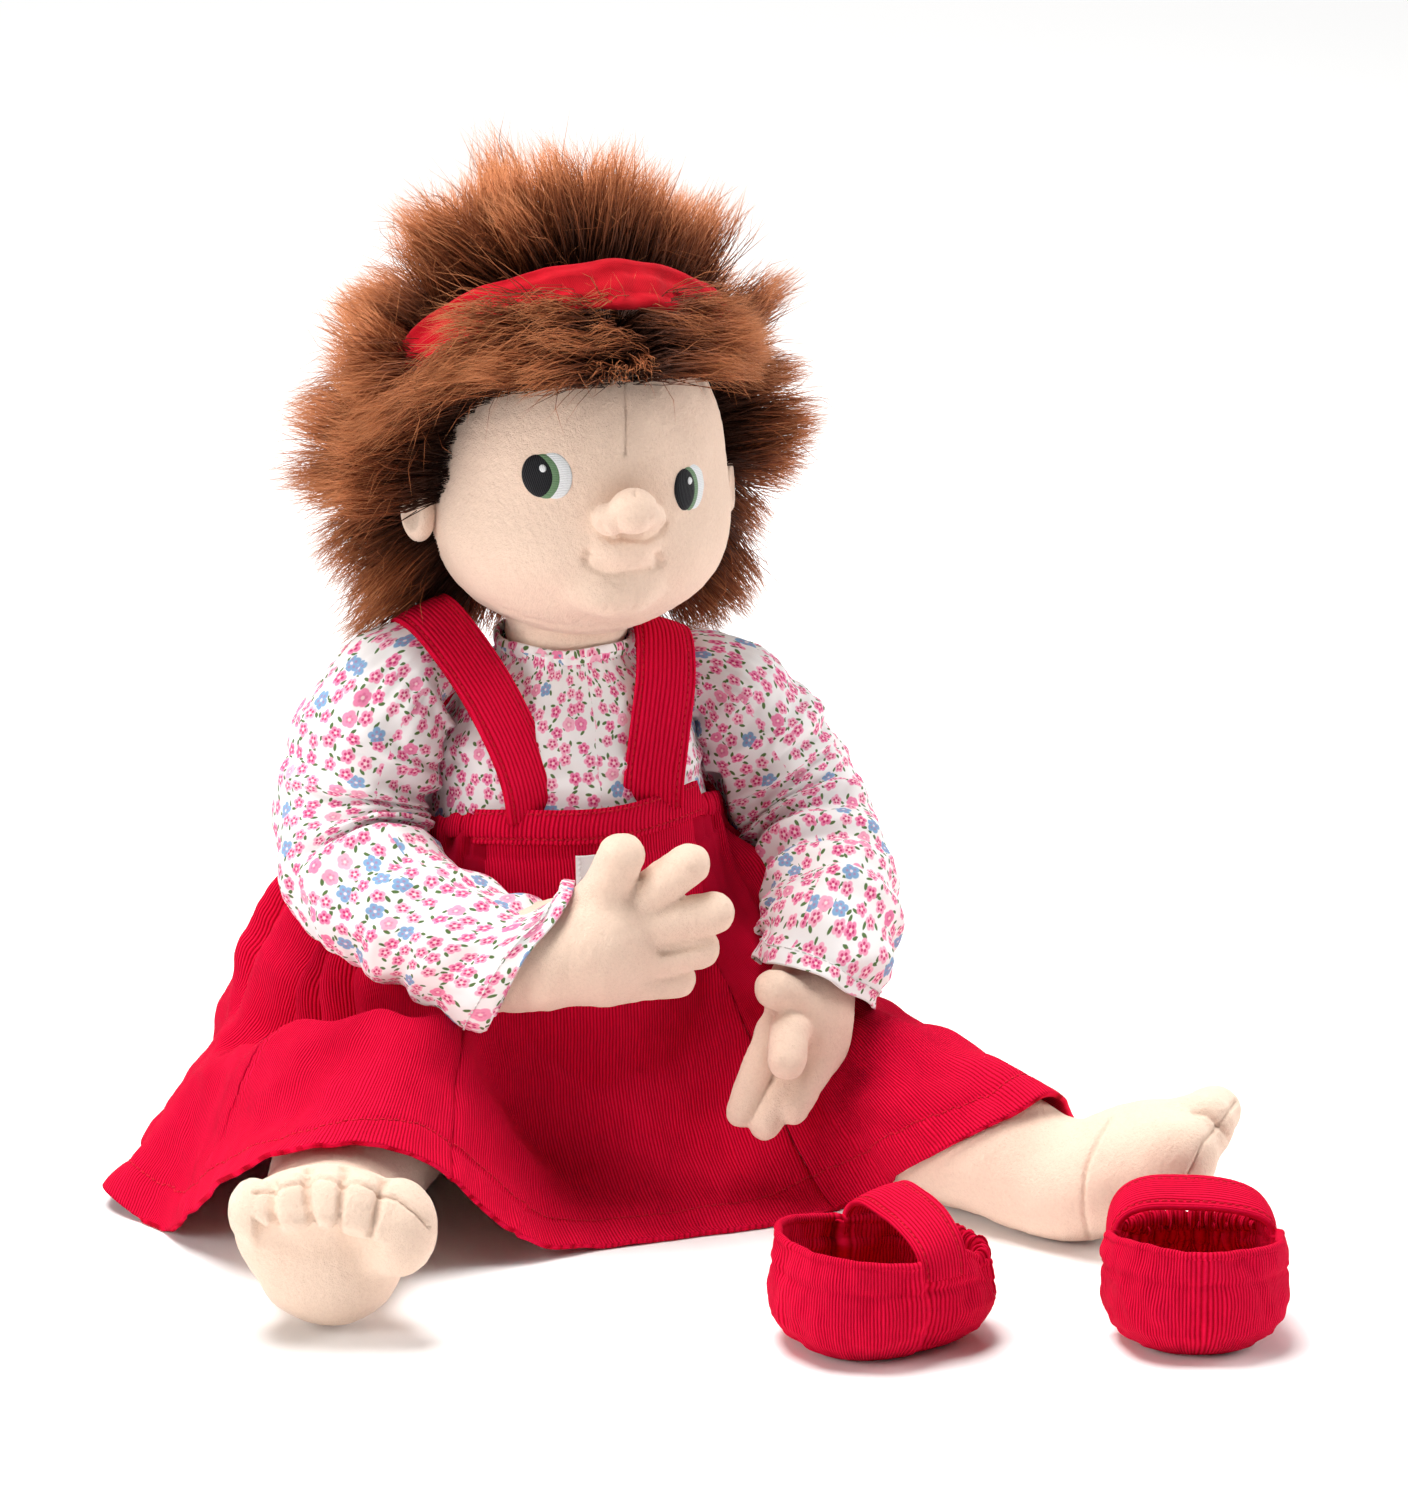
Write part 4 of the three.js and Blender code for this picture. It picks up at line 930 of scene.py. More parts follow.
def pile_flow(P, n):
    """Lie of the pile: its direction at the root, at the tip, and its length."""
    x, y, z = P[:, 0], P[:, 1], P[:, 2]
    s = band_side(P)
    side = np.tanh((x - 8.0) / 2.4)
    fringe = sstep(1, 9, s) * sstep(14, -8, y) * sstep(228, 248, z)
    low = sstep(236, 204, z)
    up = np.array([0.0, 0, 1])
    crown = n + up * (0.10 * (1 - low))[:, None] + np.array([0, 0.16, 0]) * (sstep(-45, -9, s) * sstep(240, 262, z))[:, None]
    crown -= up * (0.60 * low)[:, None]
    sweep = np.stack([side * 1.0, -0.10 - 0.25 * (1 - np.abs(side)), -0.14 - 0.08 * np.abs(side)], 1) + n * 0.36
    T1 = crown * (1 - fringe)[:, None] + sweep * fringe[:, None]
    T0 = n * (1 - 0.30 * fringe)[:, None] + T1 * (0.25 + 0.5 * fringe + 0.25 * low)[:, None]
    # the first rows in front of the band stand up against it
    T0 = unit(T0) - BAND_N * (0.42 * bell(s, 9, 4.5) * sstep(14, -4, y) * (1 - 0.8 * sstep(4, -16, x)))[:, None]
    cover = np.where(x < 6, sstep(40, 50, 6 - x), sstep(30, 44, x - 6)) * bell(s, 0, 16) * sstep(225, 240, z)
    T1 = unit(T1) - BAND_N * (np.tanh(s / 6.0) * cover * 0.45)[:, None]
    T1 = T1 + BAND_N * (0.38 * bell(s, 9, 8) * sstep(6, -14, x) * fringe)[:, None]
    lean = np.stack([wob(P, 30, 61), wob(P, 30, 62), wob(P, 30, 63)], 1)
    T1 = unit(unit(T1) + 0.34 * lean)
    L = 49.0 + 5.0 * bell(x, 4, 17) * sstep(258, 272, z) - 6.0 * fringe - 8.0 * low - 5.0 * low * (y > 26) + 3.5 * wob(P, 22, 64) - 14.0 * fringe * sstep(12, 36, x)
    L -= 7.0 * bell(x, 8, 5) * fringe
    L -= 10.0 * sstep(34, 52, x) * sstep(264, 248, z)
    return unit(T0), T1, L


def make_wig():
    # knitted backing, a dark cap between the scalp and the pile
    f = Field((-50, -56, 190), (60, 62, 290), 1.0)
    dh = smin(f.ball(HEAD_C, HEAD_R), f.ball((5, -3, 205), (44.5, 45, 30)), 12)
    face = (np.abs((f.X - 6) / 51) ** 3.4 + np.abs((f.Z - 214) / 49) ** 3.4) ** (1 / 3.4) * 46 - 46
    opening = smax(face, f.Y - 10.0, 1.5)
    nape = np.minimum(np.maximum(f.Z - 199, np.minimum(f.Y - 6.0, f.Z - 188)), np.maximum(f.Z - 211, f.Y + 4.0))
    cut = np.minimum(np.minimum(opening, nape), np.minimum(f.ball(EAR_AT[0], (9, 13, 15)), f.ball(EAR_AT[1], (9, 13, 15))))
    V, F = f.mesh(smax(smax(dh - 1.9, 0.2 - dh, 0.3), -cut, 0.6))
    cap = stuffed("wig_cap", V, outward(V, F), FUR_BASE)
    place(cap, "head", "fur_backing", "wig_backing")

    rng = np.random.default_rng(11)
    raw = rng.normal(size=(60000, 3))
    P = HEAD_C + unit(raw) * (HEAD_R + 1.0)
    n = unit((P - HEAD_C) / HEAD_R**2)
    open_band = (np.abs(band_side(P)) < 8.0) & (P[:, 0] > -34) & (P[:, 0] < 42)
    ok = under_wig(P) & ~open_band
    P, n = P[ok], n[ok]
    # thin to an even spacing on a coarse grid
    kept = []
    grid = {}
    cell = 2.6
    for i, c in enumerate(np.floor(P / cell).astype(int)):
        key = tuple(c)
        near = [j for dx in (-1, 0, 1) for dy in (-1, 0, 1) for dz in (-1, 0, 1) for j in grid.get((key[0] + dx, key[1] + dy, key[2] + dz), ())]
        if all(np.sum((P[i] - P[j]) ** 2) > 2.5**2 for j in near):
            grid.setdefault(key, []).append(i)
            kept.append(i)
    C, cn = P[kept], n[kept]
    T0, T1, L = pile_flow(C, cn)
    m = len(C)
    T1 = unit(T1 + 0.20 * rng.normal(size=(m, 3)))
    L = L * rng.uniform(0.86, 1.10, m)
    # neighbouring tufts lean together into pointed locks
    locks = []
    for i in range(m):
        if all(np.sum((C[i] - C[j]) ** 2) > 7.2**2 for j in locks):
            locks.append(i)
    locks = np.array(locks)
    own_lock = np.argmin(((C[:, None] - C[locks][None]) ** 2).sum(2), 1)
    L = L * rng.uniform(0.84, 1.12, len(locks))[own_lock]
    ends = C + (T0 * 0.38 + T1 * 0.62) * L[:, None]
    pull = (ends[locks][own_lock] - ends) * 0.62
    per = 30
    who = np.repeat(np.arange(m), per)
    total = len(who)
    a = rng.uniform(0, TAU, total)
    rad = 2.3 * np.sqrt(rng.uniform(0, 1, total))
    s1 = unit(np.cross(cn, [0.31, 0.95, 0.11]))
    s2 = np.cross(cn, s1)
    off = s1[who] * (rad * np.cos(a))[:, None] + s2[who] * (rad * np.sin(a))[:, None]
    off -= cn[who] * 0.6
    close = np.where(rng.uniform(size=total) < 0.72, rng.uniform(0.55, 0.95, total), rng.uniform(-0.5, 0.3, total))
    own = unit(T1[who] + 0.10 * rng.normal(size=(total, 3)))
    stray = rng.uniform(size=total) < 0.10
    own[stray] = unit(own[stray] + 0.42 * rng.normal(size=(stray.sum(), 3)))
    length = L[who] * np.where(rng.uniform(size=total) < 0.3, rng.uniform(0.55, 0.9, total), rng.uniform(0.86, 1.06, total))
    root, t0 = C[who], unit(T0[who] + 0.10 * rng.normal(size=(total, 3)))
    # a sparse set of fine hairs lying across the headband
    k = 900
    pick = rng.choice(np.flatnonzero((np.abs(band_side(C)) < 12.5) & (C[:, 1] < 30) & (C[:, 2] > 232)), k)
    inward = -np.sign(band_side(C[pick]))[:, None] * BAND_N
    root2 = C[pick]
    t02 = unit(cn[pick] * 1.0 + 0.25 * rng.normal(size=(k, 3)))
    own2 = unit(cn[pick] * 0.35 + inward * rng.uniform(0.15, 0.9, (k, 1)) + 0.5 * rng.normal(size=(k, 3)))
    root = np.vstack([root, root2])
    t0 = np.vstack([t0, t02])
    own = np.vstack([own, own2])
    length = np.concatenate([length, rng.uniform(14, 24, k)])
    off = np.vstack([off, 0.8 * rng.normal(size=(k, 3))])
    close = np.concatenate([close, np.zeros(k)])
    thin = np.concatenate([np.ones(total), np.full(k, 0.6)])
    gather = np.vstack([pull[who], np.zeros((k, 3))])
    total += k

    ts = np.array([0.0, 0.38, 0.74, 1.0])
    radius = np.array([0.15, 0.165, 0.115])
    bend = rng.normal(size=(total, 3)) * 0.05
    path = []
    for t in ts:
        q = root + (t0 * t + (own - t0) * (0.62 * t * t) + bend * math.sin(math.pi * t)) * length[:, None]
        q = q + off * (1 - close * t**1.2)[:, None]
        q = q + gather * t**1.7
        q[:, 2] -= 0.045 * length * t**2.4
        path.append(q)
    path = np.stack(path, 1)
    tang = unit(np.gradient(path, axis=1))
    ref = unit(rng.normal(size=(total, 3)))
    e1 = unit(np.cross(tang, ref[:, None]))
    e2 = np.cross(tang, e1)
    thin = thin * rng.uniform(0.75, 1.2, total)
    ang = np.arange(3) * TAU / 3
    R = radius[None, :3, None, None] * thin[:, None, None, None]
    ringsV = path[:, :3, None] + R * (e1[:, :3, None] * np.cos(ang)[None, None, :, None] + e2[:, :3, None] * np.sin(ang)[None, None, :, None])
    V = np.concatenate([ringsV.reshape(total, 9, 3), path[:, 3:4]], 1)
    Q = np.array([[r * 3 + i, r * 3 + (i + 1) % 3, r * 3 + 3 + (i + 1) % 3, r * 3 + 3 + i] for r in range(2) for i in range(3)])
    T = np.array([[6 + i, 6 + (i + 1) % 3, 9] for i in range(3)] + [[0, 2, 1]])
    tv = np.array([ts[r // 3] for r in range(9)] + [1.0])
    u0 = rng.uniform(0.01, 0.985, total)
    order = np.argsort(root[:, 0] + 0.4 * root[:, 1])
    parts = 9
    for g, ids in enumerate(np.array_split(order, parts)):
        b = Build()
        base = np.arange(len(ids))[:, None, None] * 10
        uq = np.stack([u0[ids][:, None, None] + (Q % 3)[None] * 0.002, np.broadcast_to(tv[Q][None] * 0.98 + 0.01, (len(ids),) + Q.shape)], -1)
        ut = np.stack([u0[ids][:, None, None] + (T % 3)[None] * 0.002, np.broadcast_to(tv[T][None] * 0.98 + 0.01, (len(ids),) + T.shape)], -1)
        b.add(V[ids].reshape(-1, 3), (Q[None] + base).reshape(-1, 4), uq.reshape(-1, 4, 2))
        b.f.append((T[None] + base).reshape(-1, 3))
        b.uv.append(ut.reshape(-1, 3, 2))
        b.m.append(np.zeros(len(T) * len(ids)))
        ob = b.obj("wig_pile_" + str(g + 1), FUR, uv_name="OFBake")
        place(ob, "head", "faux_fur", "wig_pile")
    print("strands", total)


def make_headband():
    nv, nu = 360, 28
    t = np.arange(nv) * TAU / nv
    a = np.arange(nu) * TAU / nu
    out = BAND_ACROSS * np.sin(t)[:, None] + BAND_DIR * np.cos(t)[:, None]
    ring = BAND_C + BAND_ACROSS * (BAND_RX * np.sin(t))[:, None] + BAND_DIR * (BAND_RD * np.cos(t))[:, None]
    c, s = np.cos(a), np.sin(a)
    w = np.sign(c) * np.abs(c) ** 0.8 * BAND_HALF
    h = np.sign(s) * np.abs(s) ** 0.55 * BAND_THICK * 0.5 + BAND_THICK * 0.5
    edge = 1 + 0.05 * np.sin(7 * t + 0.4) + 0.04 * np.sin(17 * t)
    P = ring[:, None] + out[:, None] * h[None, :, None] + BAND_N * (w[None] * edge[:, None])[..., None]
    top = np.clip(s, 0, 1)[None]
    crease = 0.85 * np.sin(w[None] * 0.9 + 2.2 * np.sin(5 * t)[:, None]) + 0.7 * wob(P, 9, 71) + 0.5 * wob(P, 20, 72)
    P = P + out[:, None] * (top * (crease - 0.25))[..., None]
    U = np.broadcast_to(np.linspace(0, 44, nu + 1), (nv + 1, nu + 1)).copy()
    V = np.broadcast_to(np.linspace(0, TAU * 57, nv + 1)[:, None], (nv + 1, nu + 1)).copy()
    b = Build()
    torus(b, P, U, V)
    ob = b.obj("headband_cloth", BAND_CLOTH)
    place(ob, "head", "headband_cloth", "headband")


make_wig()
make_headband()


# ------------------------------------------------------------------ arms and legs
ARM_R = [12.5, 14.6, 15, 15, 14.8, 14.6, 14.4, 13.8, 13.0]


def span(points, grow):
    p = np.vstack([np.atleast_2d(np.asarray(q, float)) for q in points])
    return p.min(0) - grow, p.max(0) + grow


def dented(V, F, shape, folds):
    """Sinks thin lines into a stuffed surface, where the cloth is sewn through."""
    N = gradient(shape, V)
    pts = Points(V)
    shift = np.zeros(len(V))
    for line, depth, width in folds:
        shift -= depth * np.exp(-((pts.near(np.asarray(line, float)) / width) ** 2))
    return V, N, shift


def make_arm(side):
    a = ARM[side]
    pts = a["path"] + a["wrist"]
    C, _ = curve(pts, 31)
    radii = np.interp(np.linspace(0, 1, 31), np.linspace(0, 1, len(ARM_R)), ARM_R)
    if side == "right":
        radii = radii + np.interp(np.linspace(0, 1, 31), [0, 0.6, 0.8, 1], [0, 0, 2.4, 3.6])
    tip = [p for fg in a["fingers"] for p in fg[:2]]

    def shape(f):
        d = smin(f.chain(C[::3], radii[::3]), f.ball(*a["palm"]), 7.0)
        fingers = None
        for p, q, r in a["fingers"]:
            c = f.cone(p, q, r * 0.98, r * 0.96)
            fingers = c if fingers is None else smin(fingers, c, 0.5)
        return smin(d, fingers, 3.6)

    lo, hi = span([C, tip, a["palm"][0]], 19)
    f = Field(lo, hi, 0.8)
    V, F = f.mesh(shape(f))
    V = relax(V, F, 3, 0.5)
    folds = []
    if side == "right":
        p, q, r = a["fingers"][3]
        p, q = np.array(p, float), np.array(q, float)
        lift = TO_CAMERA * r * 0.93 + np.array([0, 0, 1.5])
        folds.append(([p + (q - p) * k + lift for k in (0.1, 0.4, 0.7, 1.0, 1.2)], 1.3, 1.0))
    V, N, shift = dented(V, F, shape, folds)
    shift += 0.30 * wob(V, 18, 31) + 0.10 * wob(V, 4.5, 32)
    V = V + N * shift[:, None]
    ob = stuffed("arm_" + side + "_piece", V, outward(V, F), SKIN)
    place(ob, "arm_" + side, "velour", "arm_" + side + "_skin")


LEG_R = [20, 23, 23.4, 21.6, 20]


def make_leg(side):
    l = LEG[side]
    C, _ = curve(l["path"], 13)
    radii = np.interp(np.linspace(0, 1, 13), np.linspace(0, 1, 5), LEG_R)
    c, half, ax = l["foot"]
    c = np.array(c, float)
    ax = unit(np.array(ax, float))
    ax = np.vstack([ax, np.cross(ax[0], ax[1])])

    def shape(f):
        d = f.chain(C, radii)
        if side == "right":
            # the sole faces forward: broad under the toes, narrow at the heel
            sole = smin(f.ball(c + [0, 0, 5], (half[0] * 0.98, half[1] * 0.92, 19.5), ax), f.ball(c + [0.5, 0, -8.5], (19.5, 15, 16.2), ax), 9)
            d = smin(d, sole, 7)
            toes = None
            for k, (x, y, z, r) in enumerate(l["toes"]):
                big = k == 4
                h = (11.5, 10.8, 15.0) if big else (7.6, 9.6, 10.0)
                e = f.ball((x - (1.0 if big else 0), y, z - (5.5 if big else 2.0)), h, ax)
                toes = e if toes is None else smin(toes, e, 5.0)
            d = smin(d, toes, 5.0)
        else:
            foot = smin(f.ball(c, half, ax), f.ball((121, -126, 16), (19, 17, 16)), 8)
            d = smin(d, foot, 9)
            toes = None
            for k, (x, y, z, r) in enumerate(l["toes"]):
                h = (14.0, 12.0, 13.0) if k == 0 else (10.5, 8.0, 9.5) if k == 1 else (8.0, 6.6, 8.0)
                e = f.ball((x, y, z), h, [[0.68, -0.56, 0.47], [0.6, 0.8, 0.0], unit(np.cross([0.68, -0.56, 0.47], [0.6, 0.8, 0]))])
                toes = e if toes is None else smin(toes, e, 5.0)
            d = smin(d, toes, 8.0)
        return smax(d, 0.3 - f.Z, 3.0)

    lo, hi = span([C, [t[:3] for t in l["toes"]], c], 30)
    lo[2], hi[2] = -2.0, 60.0
    f = Field(lo, hi, 0.8)
    V, F = f.mesh(shape(f))
    V = relax(V, F, 3, 0.5)
    N = gradient(shape, V)
    shift = np.zeros(len(V))
    pts = Points(V)
    if side == "left":
        # the seam over the toes, the crease beside the big toe, and the ankle seam
        shift += drawn_in(V, N, [
            ([(1226, 1109), (1222, 1115), (1209, 1133), (1193, 1150), (1185, 1170), (1176, 1187), (1168, 1204)], 1.1, 2.2),
            ([(1184, 1121), (1197, 1122.5), (1209, 1133), (1217, 1143), (1226, 1160)], 1.1, 2.6),
        ], (10, -8))
        shift += drawn_in(V, N, [([(1110, 1120), (1098, 1142), (1088, 1165), (1084, 1182), (1084, 1215), (1088, 1240)], 1.2, 2.0)], (0, -2))
    else:
        # toes: a seam across them, creases between them, and an overhang above the sole
        shift += drawn_in(V, N, [
            ([(262.5, 1187.4), (277.5, 1186), (298.4, 1179.2), (314.9, 1177), (326.9, 1172.5), (338.9, 1174), (350.9, 1179.2), (365.9, 1177.7), (382.4, 1183.7), (389.9, 1189.7), (404.9, 1193.4), (424.3, 1208.4), (436, 1222)], 1.3, 1.8),
            ([(281.5, 1178), (280.5, 1186), (281.2, 1204), (285, 1220)], 2.4, 3.8), ([(316.5, 1164), (314.9, 1176.2), (316.4, 1198), (320.9, 1217)], 2.6, 3.8),
            ([(353.9, 1160.5), (351.6, 1178.5), (348.6, 1201), (346, 1221)], 2.6, 3.8), ([(393.5, 1170), (389.1, 1189), (383.9, 1213), (379, 1228)], 2.4, 3.8),
        ], (-8, 5), 30.0)
        q = seen(V) - (-8, 5)
        lower = np.interp(q[:, 0], [258, 266, 274, 282, 286, 290, 303, 315, 320.5, 325, 331, 342, 346, 350, 357, 372, 380, 392], [1206, 1216, 1222, 1220, 1223, 1226.5, 1227.2, 1223.5, 1219, 1222, 1224, 1224, 1222.5, 1227, 1231, 1235, 1236, 1240])
        under = q[:, 1] - lower
        ends = foremost(V, 30.0) * sstep(258, 270, q[:, 0]) * (1 - sstep(376, 398, q[:, 0])) * sstep(0.0, 0.25, N @ TO_CAMERA)
        shift += ends * (1.3 * bell(under, -12, 9) - 3.4 * sstep(-1.5, 3.0, under) * np.exp(-np.clip(under, 0, None) / 26.0))
    shift += 0.35 * wob(V, 22, 41) + 0.10 * wob(V, 4.5, 42)
    shift *= sstep(0.3, 3.0, V[:, 2])
    V = V + N * shift[:, None]
    V[:, 2] = np.maximum(V[:, 2], 0.25)
    ob = stuffed("leg_" + side + "_piece", V, outward(V, F), SKIN)
    place(ob, "leg_" + side, "velour", "leg_" + side + "_skin", "foot_" + side)


for which in ("right", "left"):
    make_arm(which)
    make_leg(which)


# ------------------------------------------------------------------ shirt
def trunk_at(phi, z, off):
    """A point over the trunk; phi 0 is the front and grows to the doll's left."""
    a, b = np.interp(z, TORSO[:, 0], TORSO[:, 1]) + off, np.interp(z, TORSO[:, 0], TORSO[:, 2]) + off
    return np.stack(np.broadcast_arrays(a * np.sin(phi), -b * np.cos(phi), z), -1)


def make_shirt():
    nu, nv = 220, 130
    phi = np.arange(nu) * TAU / nu
    z = np.linspace(68.0, 169.0, nv)[:, None]
    P = trunk_at(phi[None], z, 0.0)
    over = sstep(122, 136, z)
    lie = 1.55 + over * 1.3 - sstep(160, 169, z) * 3.6
    folds = 0.9 * np.sin(z * 0.55 + 1.3 * np.sin(phi * 3 + 0.7) + 0.5 * np.sin(phi * 7)) * bell(z, 131, 8)
    folds = folds + 0.8 * np.sin(z * 0.42 + 2.0 * np.sin(phi * 2 + 2.0)) * bell(z, 146, 9) + 1.1 * wob(P, 17, 51)
    gathers = 0.35 * np.sin(phi * 34) * sstep(154, 166, z)
    off = lie + over * (np.clip(folds, -1.0, 2.2) + gathers)
    P = trunk_at(phi[None], z, off)
    U, V = ring_uv(P, TAU * 44)
    b = Build()
    thick(b, P, U, V, 0.7, closed=True, away=(0, 0, 110))
    ob = b.obj("shirt_body_cloth", PRINT)
    body = place(ob, "torso", "printed_cotton", "shirt_body")
    # neck edge: a narrow turned binding, lightly gathered
    nv, nu = 240, 14
    t, a = np.arange(nv) * TAU / nv, np.arange(nu) * TAU / nu
    ring = trunk_at(t, np.full(nv, 169.2), -0.9)
    ring[:, 2] += -1.2 * np.cos(t) + 0.4 * np.sin(5 * t)
    out = unit(ring * [1, 1, 0])
    w = 2.5 * np.sin(a)[None]
    h = 1.0 * np.cos(a)[None] * (1 + 0.25 * np.sin(40 * t)[:, None])
    P = ring[:, None] + out[:, None] * h[..., None] + np.array([0, 0, 1.0]) * w[..., None]
    U = np.broadcast_to(np.linspace(0, 8, nu + 1), (nv + 1, nu + 1)).copy()
    V = np.broadcast_to(np.linspace(0, 150, nv + 1)[:, None], (nv + 1, nu + 1)).copy()
    b = Build()
    torus(b, P, U, V)
    ob = b.obj("shirt_neck_binding_cloth", PRINT)
    place(ob, "torso", "printed_cotton", "shirt_neck_binding")


def make_sleeve(side):
    a = ARM[side]
    s = -1 if side == "right" else 1
    extra = [] if side == "right" else [a["wrist"][0]]
    pts = [[34 * s, 0, 163.5] if side == "right" else [29, 0, 158], a["cap"]] + a["path"] + extra
    pts = np.array(pts, float)
    end = np.array(a["wrist"][0 if side == "right" else 1], float)
    pts = np.vstack([pts, pts[-1] + unit(end - pts[-1]) * (7.5 if side == "right" else 4.5)])
    nv, nu = 230, 120
    C, arc = curve(pts, nv)
    total = arc[-1]
    T, N, B = carried(C, [0, -1.0, 0])
    t = np.arange(nu) * TAU / nu
    k = arc / total
    r = np.interp(k, [0, 0.05, 0.10, 0.18, 0.30, 0.45, 0.62, 0.80, 0.92, 1.0], [7.0, 13.5, 18.0, 21.8, 24.2, 25.0, 23.0, 20.8, 20.6, 21.2] if side == "right" else [6.0, 9.5, 13.0, 18.6, 22.6, 22.6, 21.4, 21.2, 21.2, 20.6])
    dirs = N[:, None] * np.cos(t)[None, :, None] + B[:, None] * np.sin(t)[None, :, None]
    P = C[:, None] + dirs * r[:, None, None]
    # the inside of the elbow folds, the outside is smooth
    bend = unit(np.gradient(T, axis=0) + 1e-9)
    inner = np.sum(dirs * bend[:, None], 2)
    amount = np.linalg.norm(np.gradient(T, axis=0), axis=1)
    amount = np.convolve(amount, np.ones(25) / 25, "same")
    amount = amount / amount[nv // 6 : -nv // 6].max()
    S = arc[:, None] + 2.6 * np.sin(t * 2 + 0.5)[None] + 1.8 * np.sin(t * 3 + arc[:, None] * 0.05)
    crease = np.sin(S * TAU / 13.0) * 1.7 * sstep(-0.2, 0.9, inner) * np.clip(amount, 0, 1)[:, None]
    crease = crease + 0.9 * np.sin(S * TAU / 19.0 + 1.4 * np.sin(t + 1)[None]) * sstep(0.16, 0.3, k)[:, None]
    crease = crease + 1.0 * wob(P, 24, 53 + s) + 0.5 * wob(P, 10, 57 + s)
    if side == "left":
        crease = crease + 1.5 * np.sin(arc[:, None] * TAU / 15.0 + 0.8 * np.sin(t * 2)[None]) * bell(k, 0.72, 0.16)[:, None]
    gathers = 0.55 * np.sin(t * 26)[None] * bell(k, 0.13, 0.05)[:, None]
    crease = (crease + gathers) * sstep(0.03, 0.16, k)[:, None] * (1 - 0.55 * sstep(0.93, 1.0, k)[:, None])
    P = P + dirs * np.clip(crease, -3.0, 3.0)[..., None]
    # the cuff is slanted, and its edge waves a little
    lift = dirs[..., 2] if side == "right" else dirs @ TO_CAMERA
    slant = (18.0 if side == "right" else 13.0) * lift + 0.8 * np.sin(t * 3 + 0.6)[None] + 0.5 * np.sin(t * 5)[None]
    P = P + T[:, None] * (slant * sstep(0.55, 1.0, k)[:, None])[..., None]
    flare = sstep(0.90, 1.0, k)[:, None] * (0.9 * np.sin(t * 3 + 2.2)[None] + 0.5 * np.sin(t * 7)[None])
    P = P + dirs * flare[..., None]
    P[..., 2] = np.maximum(P[..., 2], 52.0)
    # where the arm lies against the body the sleeve is pressed flat
    zz = np.clip(P[..., 2], 60, 160)
    over = np.where(zz < 124, DRESS_OFF + CORD + 3.6, 2.6)
    ra, rb = np.interp(zz, TORSO[:, 0], TORSO[:, 1]) + over, np.interp(zz, TORSO[:, 0], TORSO[:, 2]) + over
    inside = np.sqrt((P[..., 0] / ra) ** 2 + (P[..., 1] / rb) ** 2)
    press = np.where(inside < 1, 1 / np.maximum(inside, 0.5) - 1, 0) * sstep(148, 138, P[..., 2])
    P[..., :2] *= (1 + press)[..., None]
    U, V = ring_uv(P, TAU * 21.5)
    V = V + 3.0
    b = Build()
    thick(b, P, U, V, 0.7, closed=True, away=C.mean(0))
    # turned hem with a row of stitches
    n = grid_normals(P, True)
    n = n * np.sign(np.sum(n * dirs, 2))[..., None]
    row = np.searchsorted(arc, total - 6.2)
    loop = np.r_[np.arange(nu), 0]
    stitches(b, (P[row] + n[row] * 0.22)[loop], n[row][loop], 2.3, 1.7, 0.55, 1, 0.28)
    ob = b.obj("sleeve_" + side + "_cloth", PRINT, WHITE_THREAD)
    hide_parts("sleeve_" + side)
    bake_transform(ob)


make_shirt()
make_sleeve("right")
make_sleeve("left")


# ------------------------------------------------------------------ pinafore
UPPER_RIGHT = [[0, 49, 78], [18, 49, 76], [27, 49, 72], [34, 49, 68], [42, 49, 66], [56, 50, 66], [66, 52, 68], [74, 54, 68], [88, 58, 70], [106, 66, 86], [125, 88, 112], [150, 78, 104], [180, 72, 100]]
UPPER_LEFT = [[0, 49, 78], [18, 49, 76], [28, 49, 72], [34, 49, 68], [42, 49, 68], [56, 50, 69], [66, 52, 70], [74, 54, 68], [88, 58, 70], [106, 66, 86], [125, 88, 112], [150, 78, 104], [180, 72, 100]]
LOWER_RIGHT = [[0, 50, 10], [16, 50, 10], [24, 54, 14], [30, 64, 30], [35, 74, 46], [42, 79, 54], [56, 86, 60], [66, 98, 65], [74, 98, 58], [88, 92, 42], [106, 100, 46], [125, 112, 62], [150, 98, 50], [180, 92, 48]]
LOWER_LEFT = [[0, 50, 10], [18, 51, 10], [28, 56, 14], [35, 66, 30], [42, 73, 48], [56, 82, 58], [66, 90, 62], [74, 90, 52], [88, 86, 38], [106, 100, 46], [125, 112, 62], [150, 98, 50], [180, 92, 48]]
HEM_RIGHT = [[0, 94, 2], [12, 98, 2.5], [20, 106, 5], [26, 113, 12], [31, 118, 24], [35, 124, 34], [39, 138, 44], [43, 151, 48], [47, 156, 46], [51, 158, 41], [56, 157, 33], [61, 154, 24], [67, 150, 11], [72, 147, 2.5], [78, 149, 2], [86, 149, 2], [92, 144, 2], [106, 132, 2], [125, 120, 2], [150, 106, 2], [180, 102, 2]]
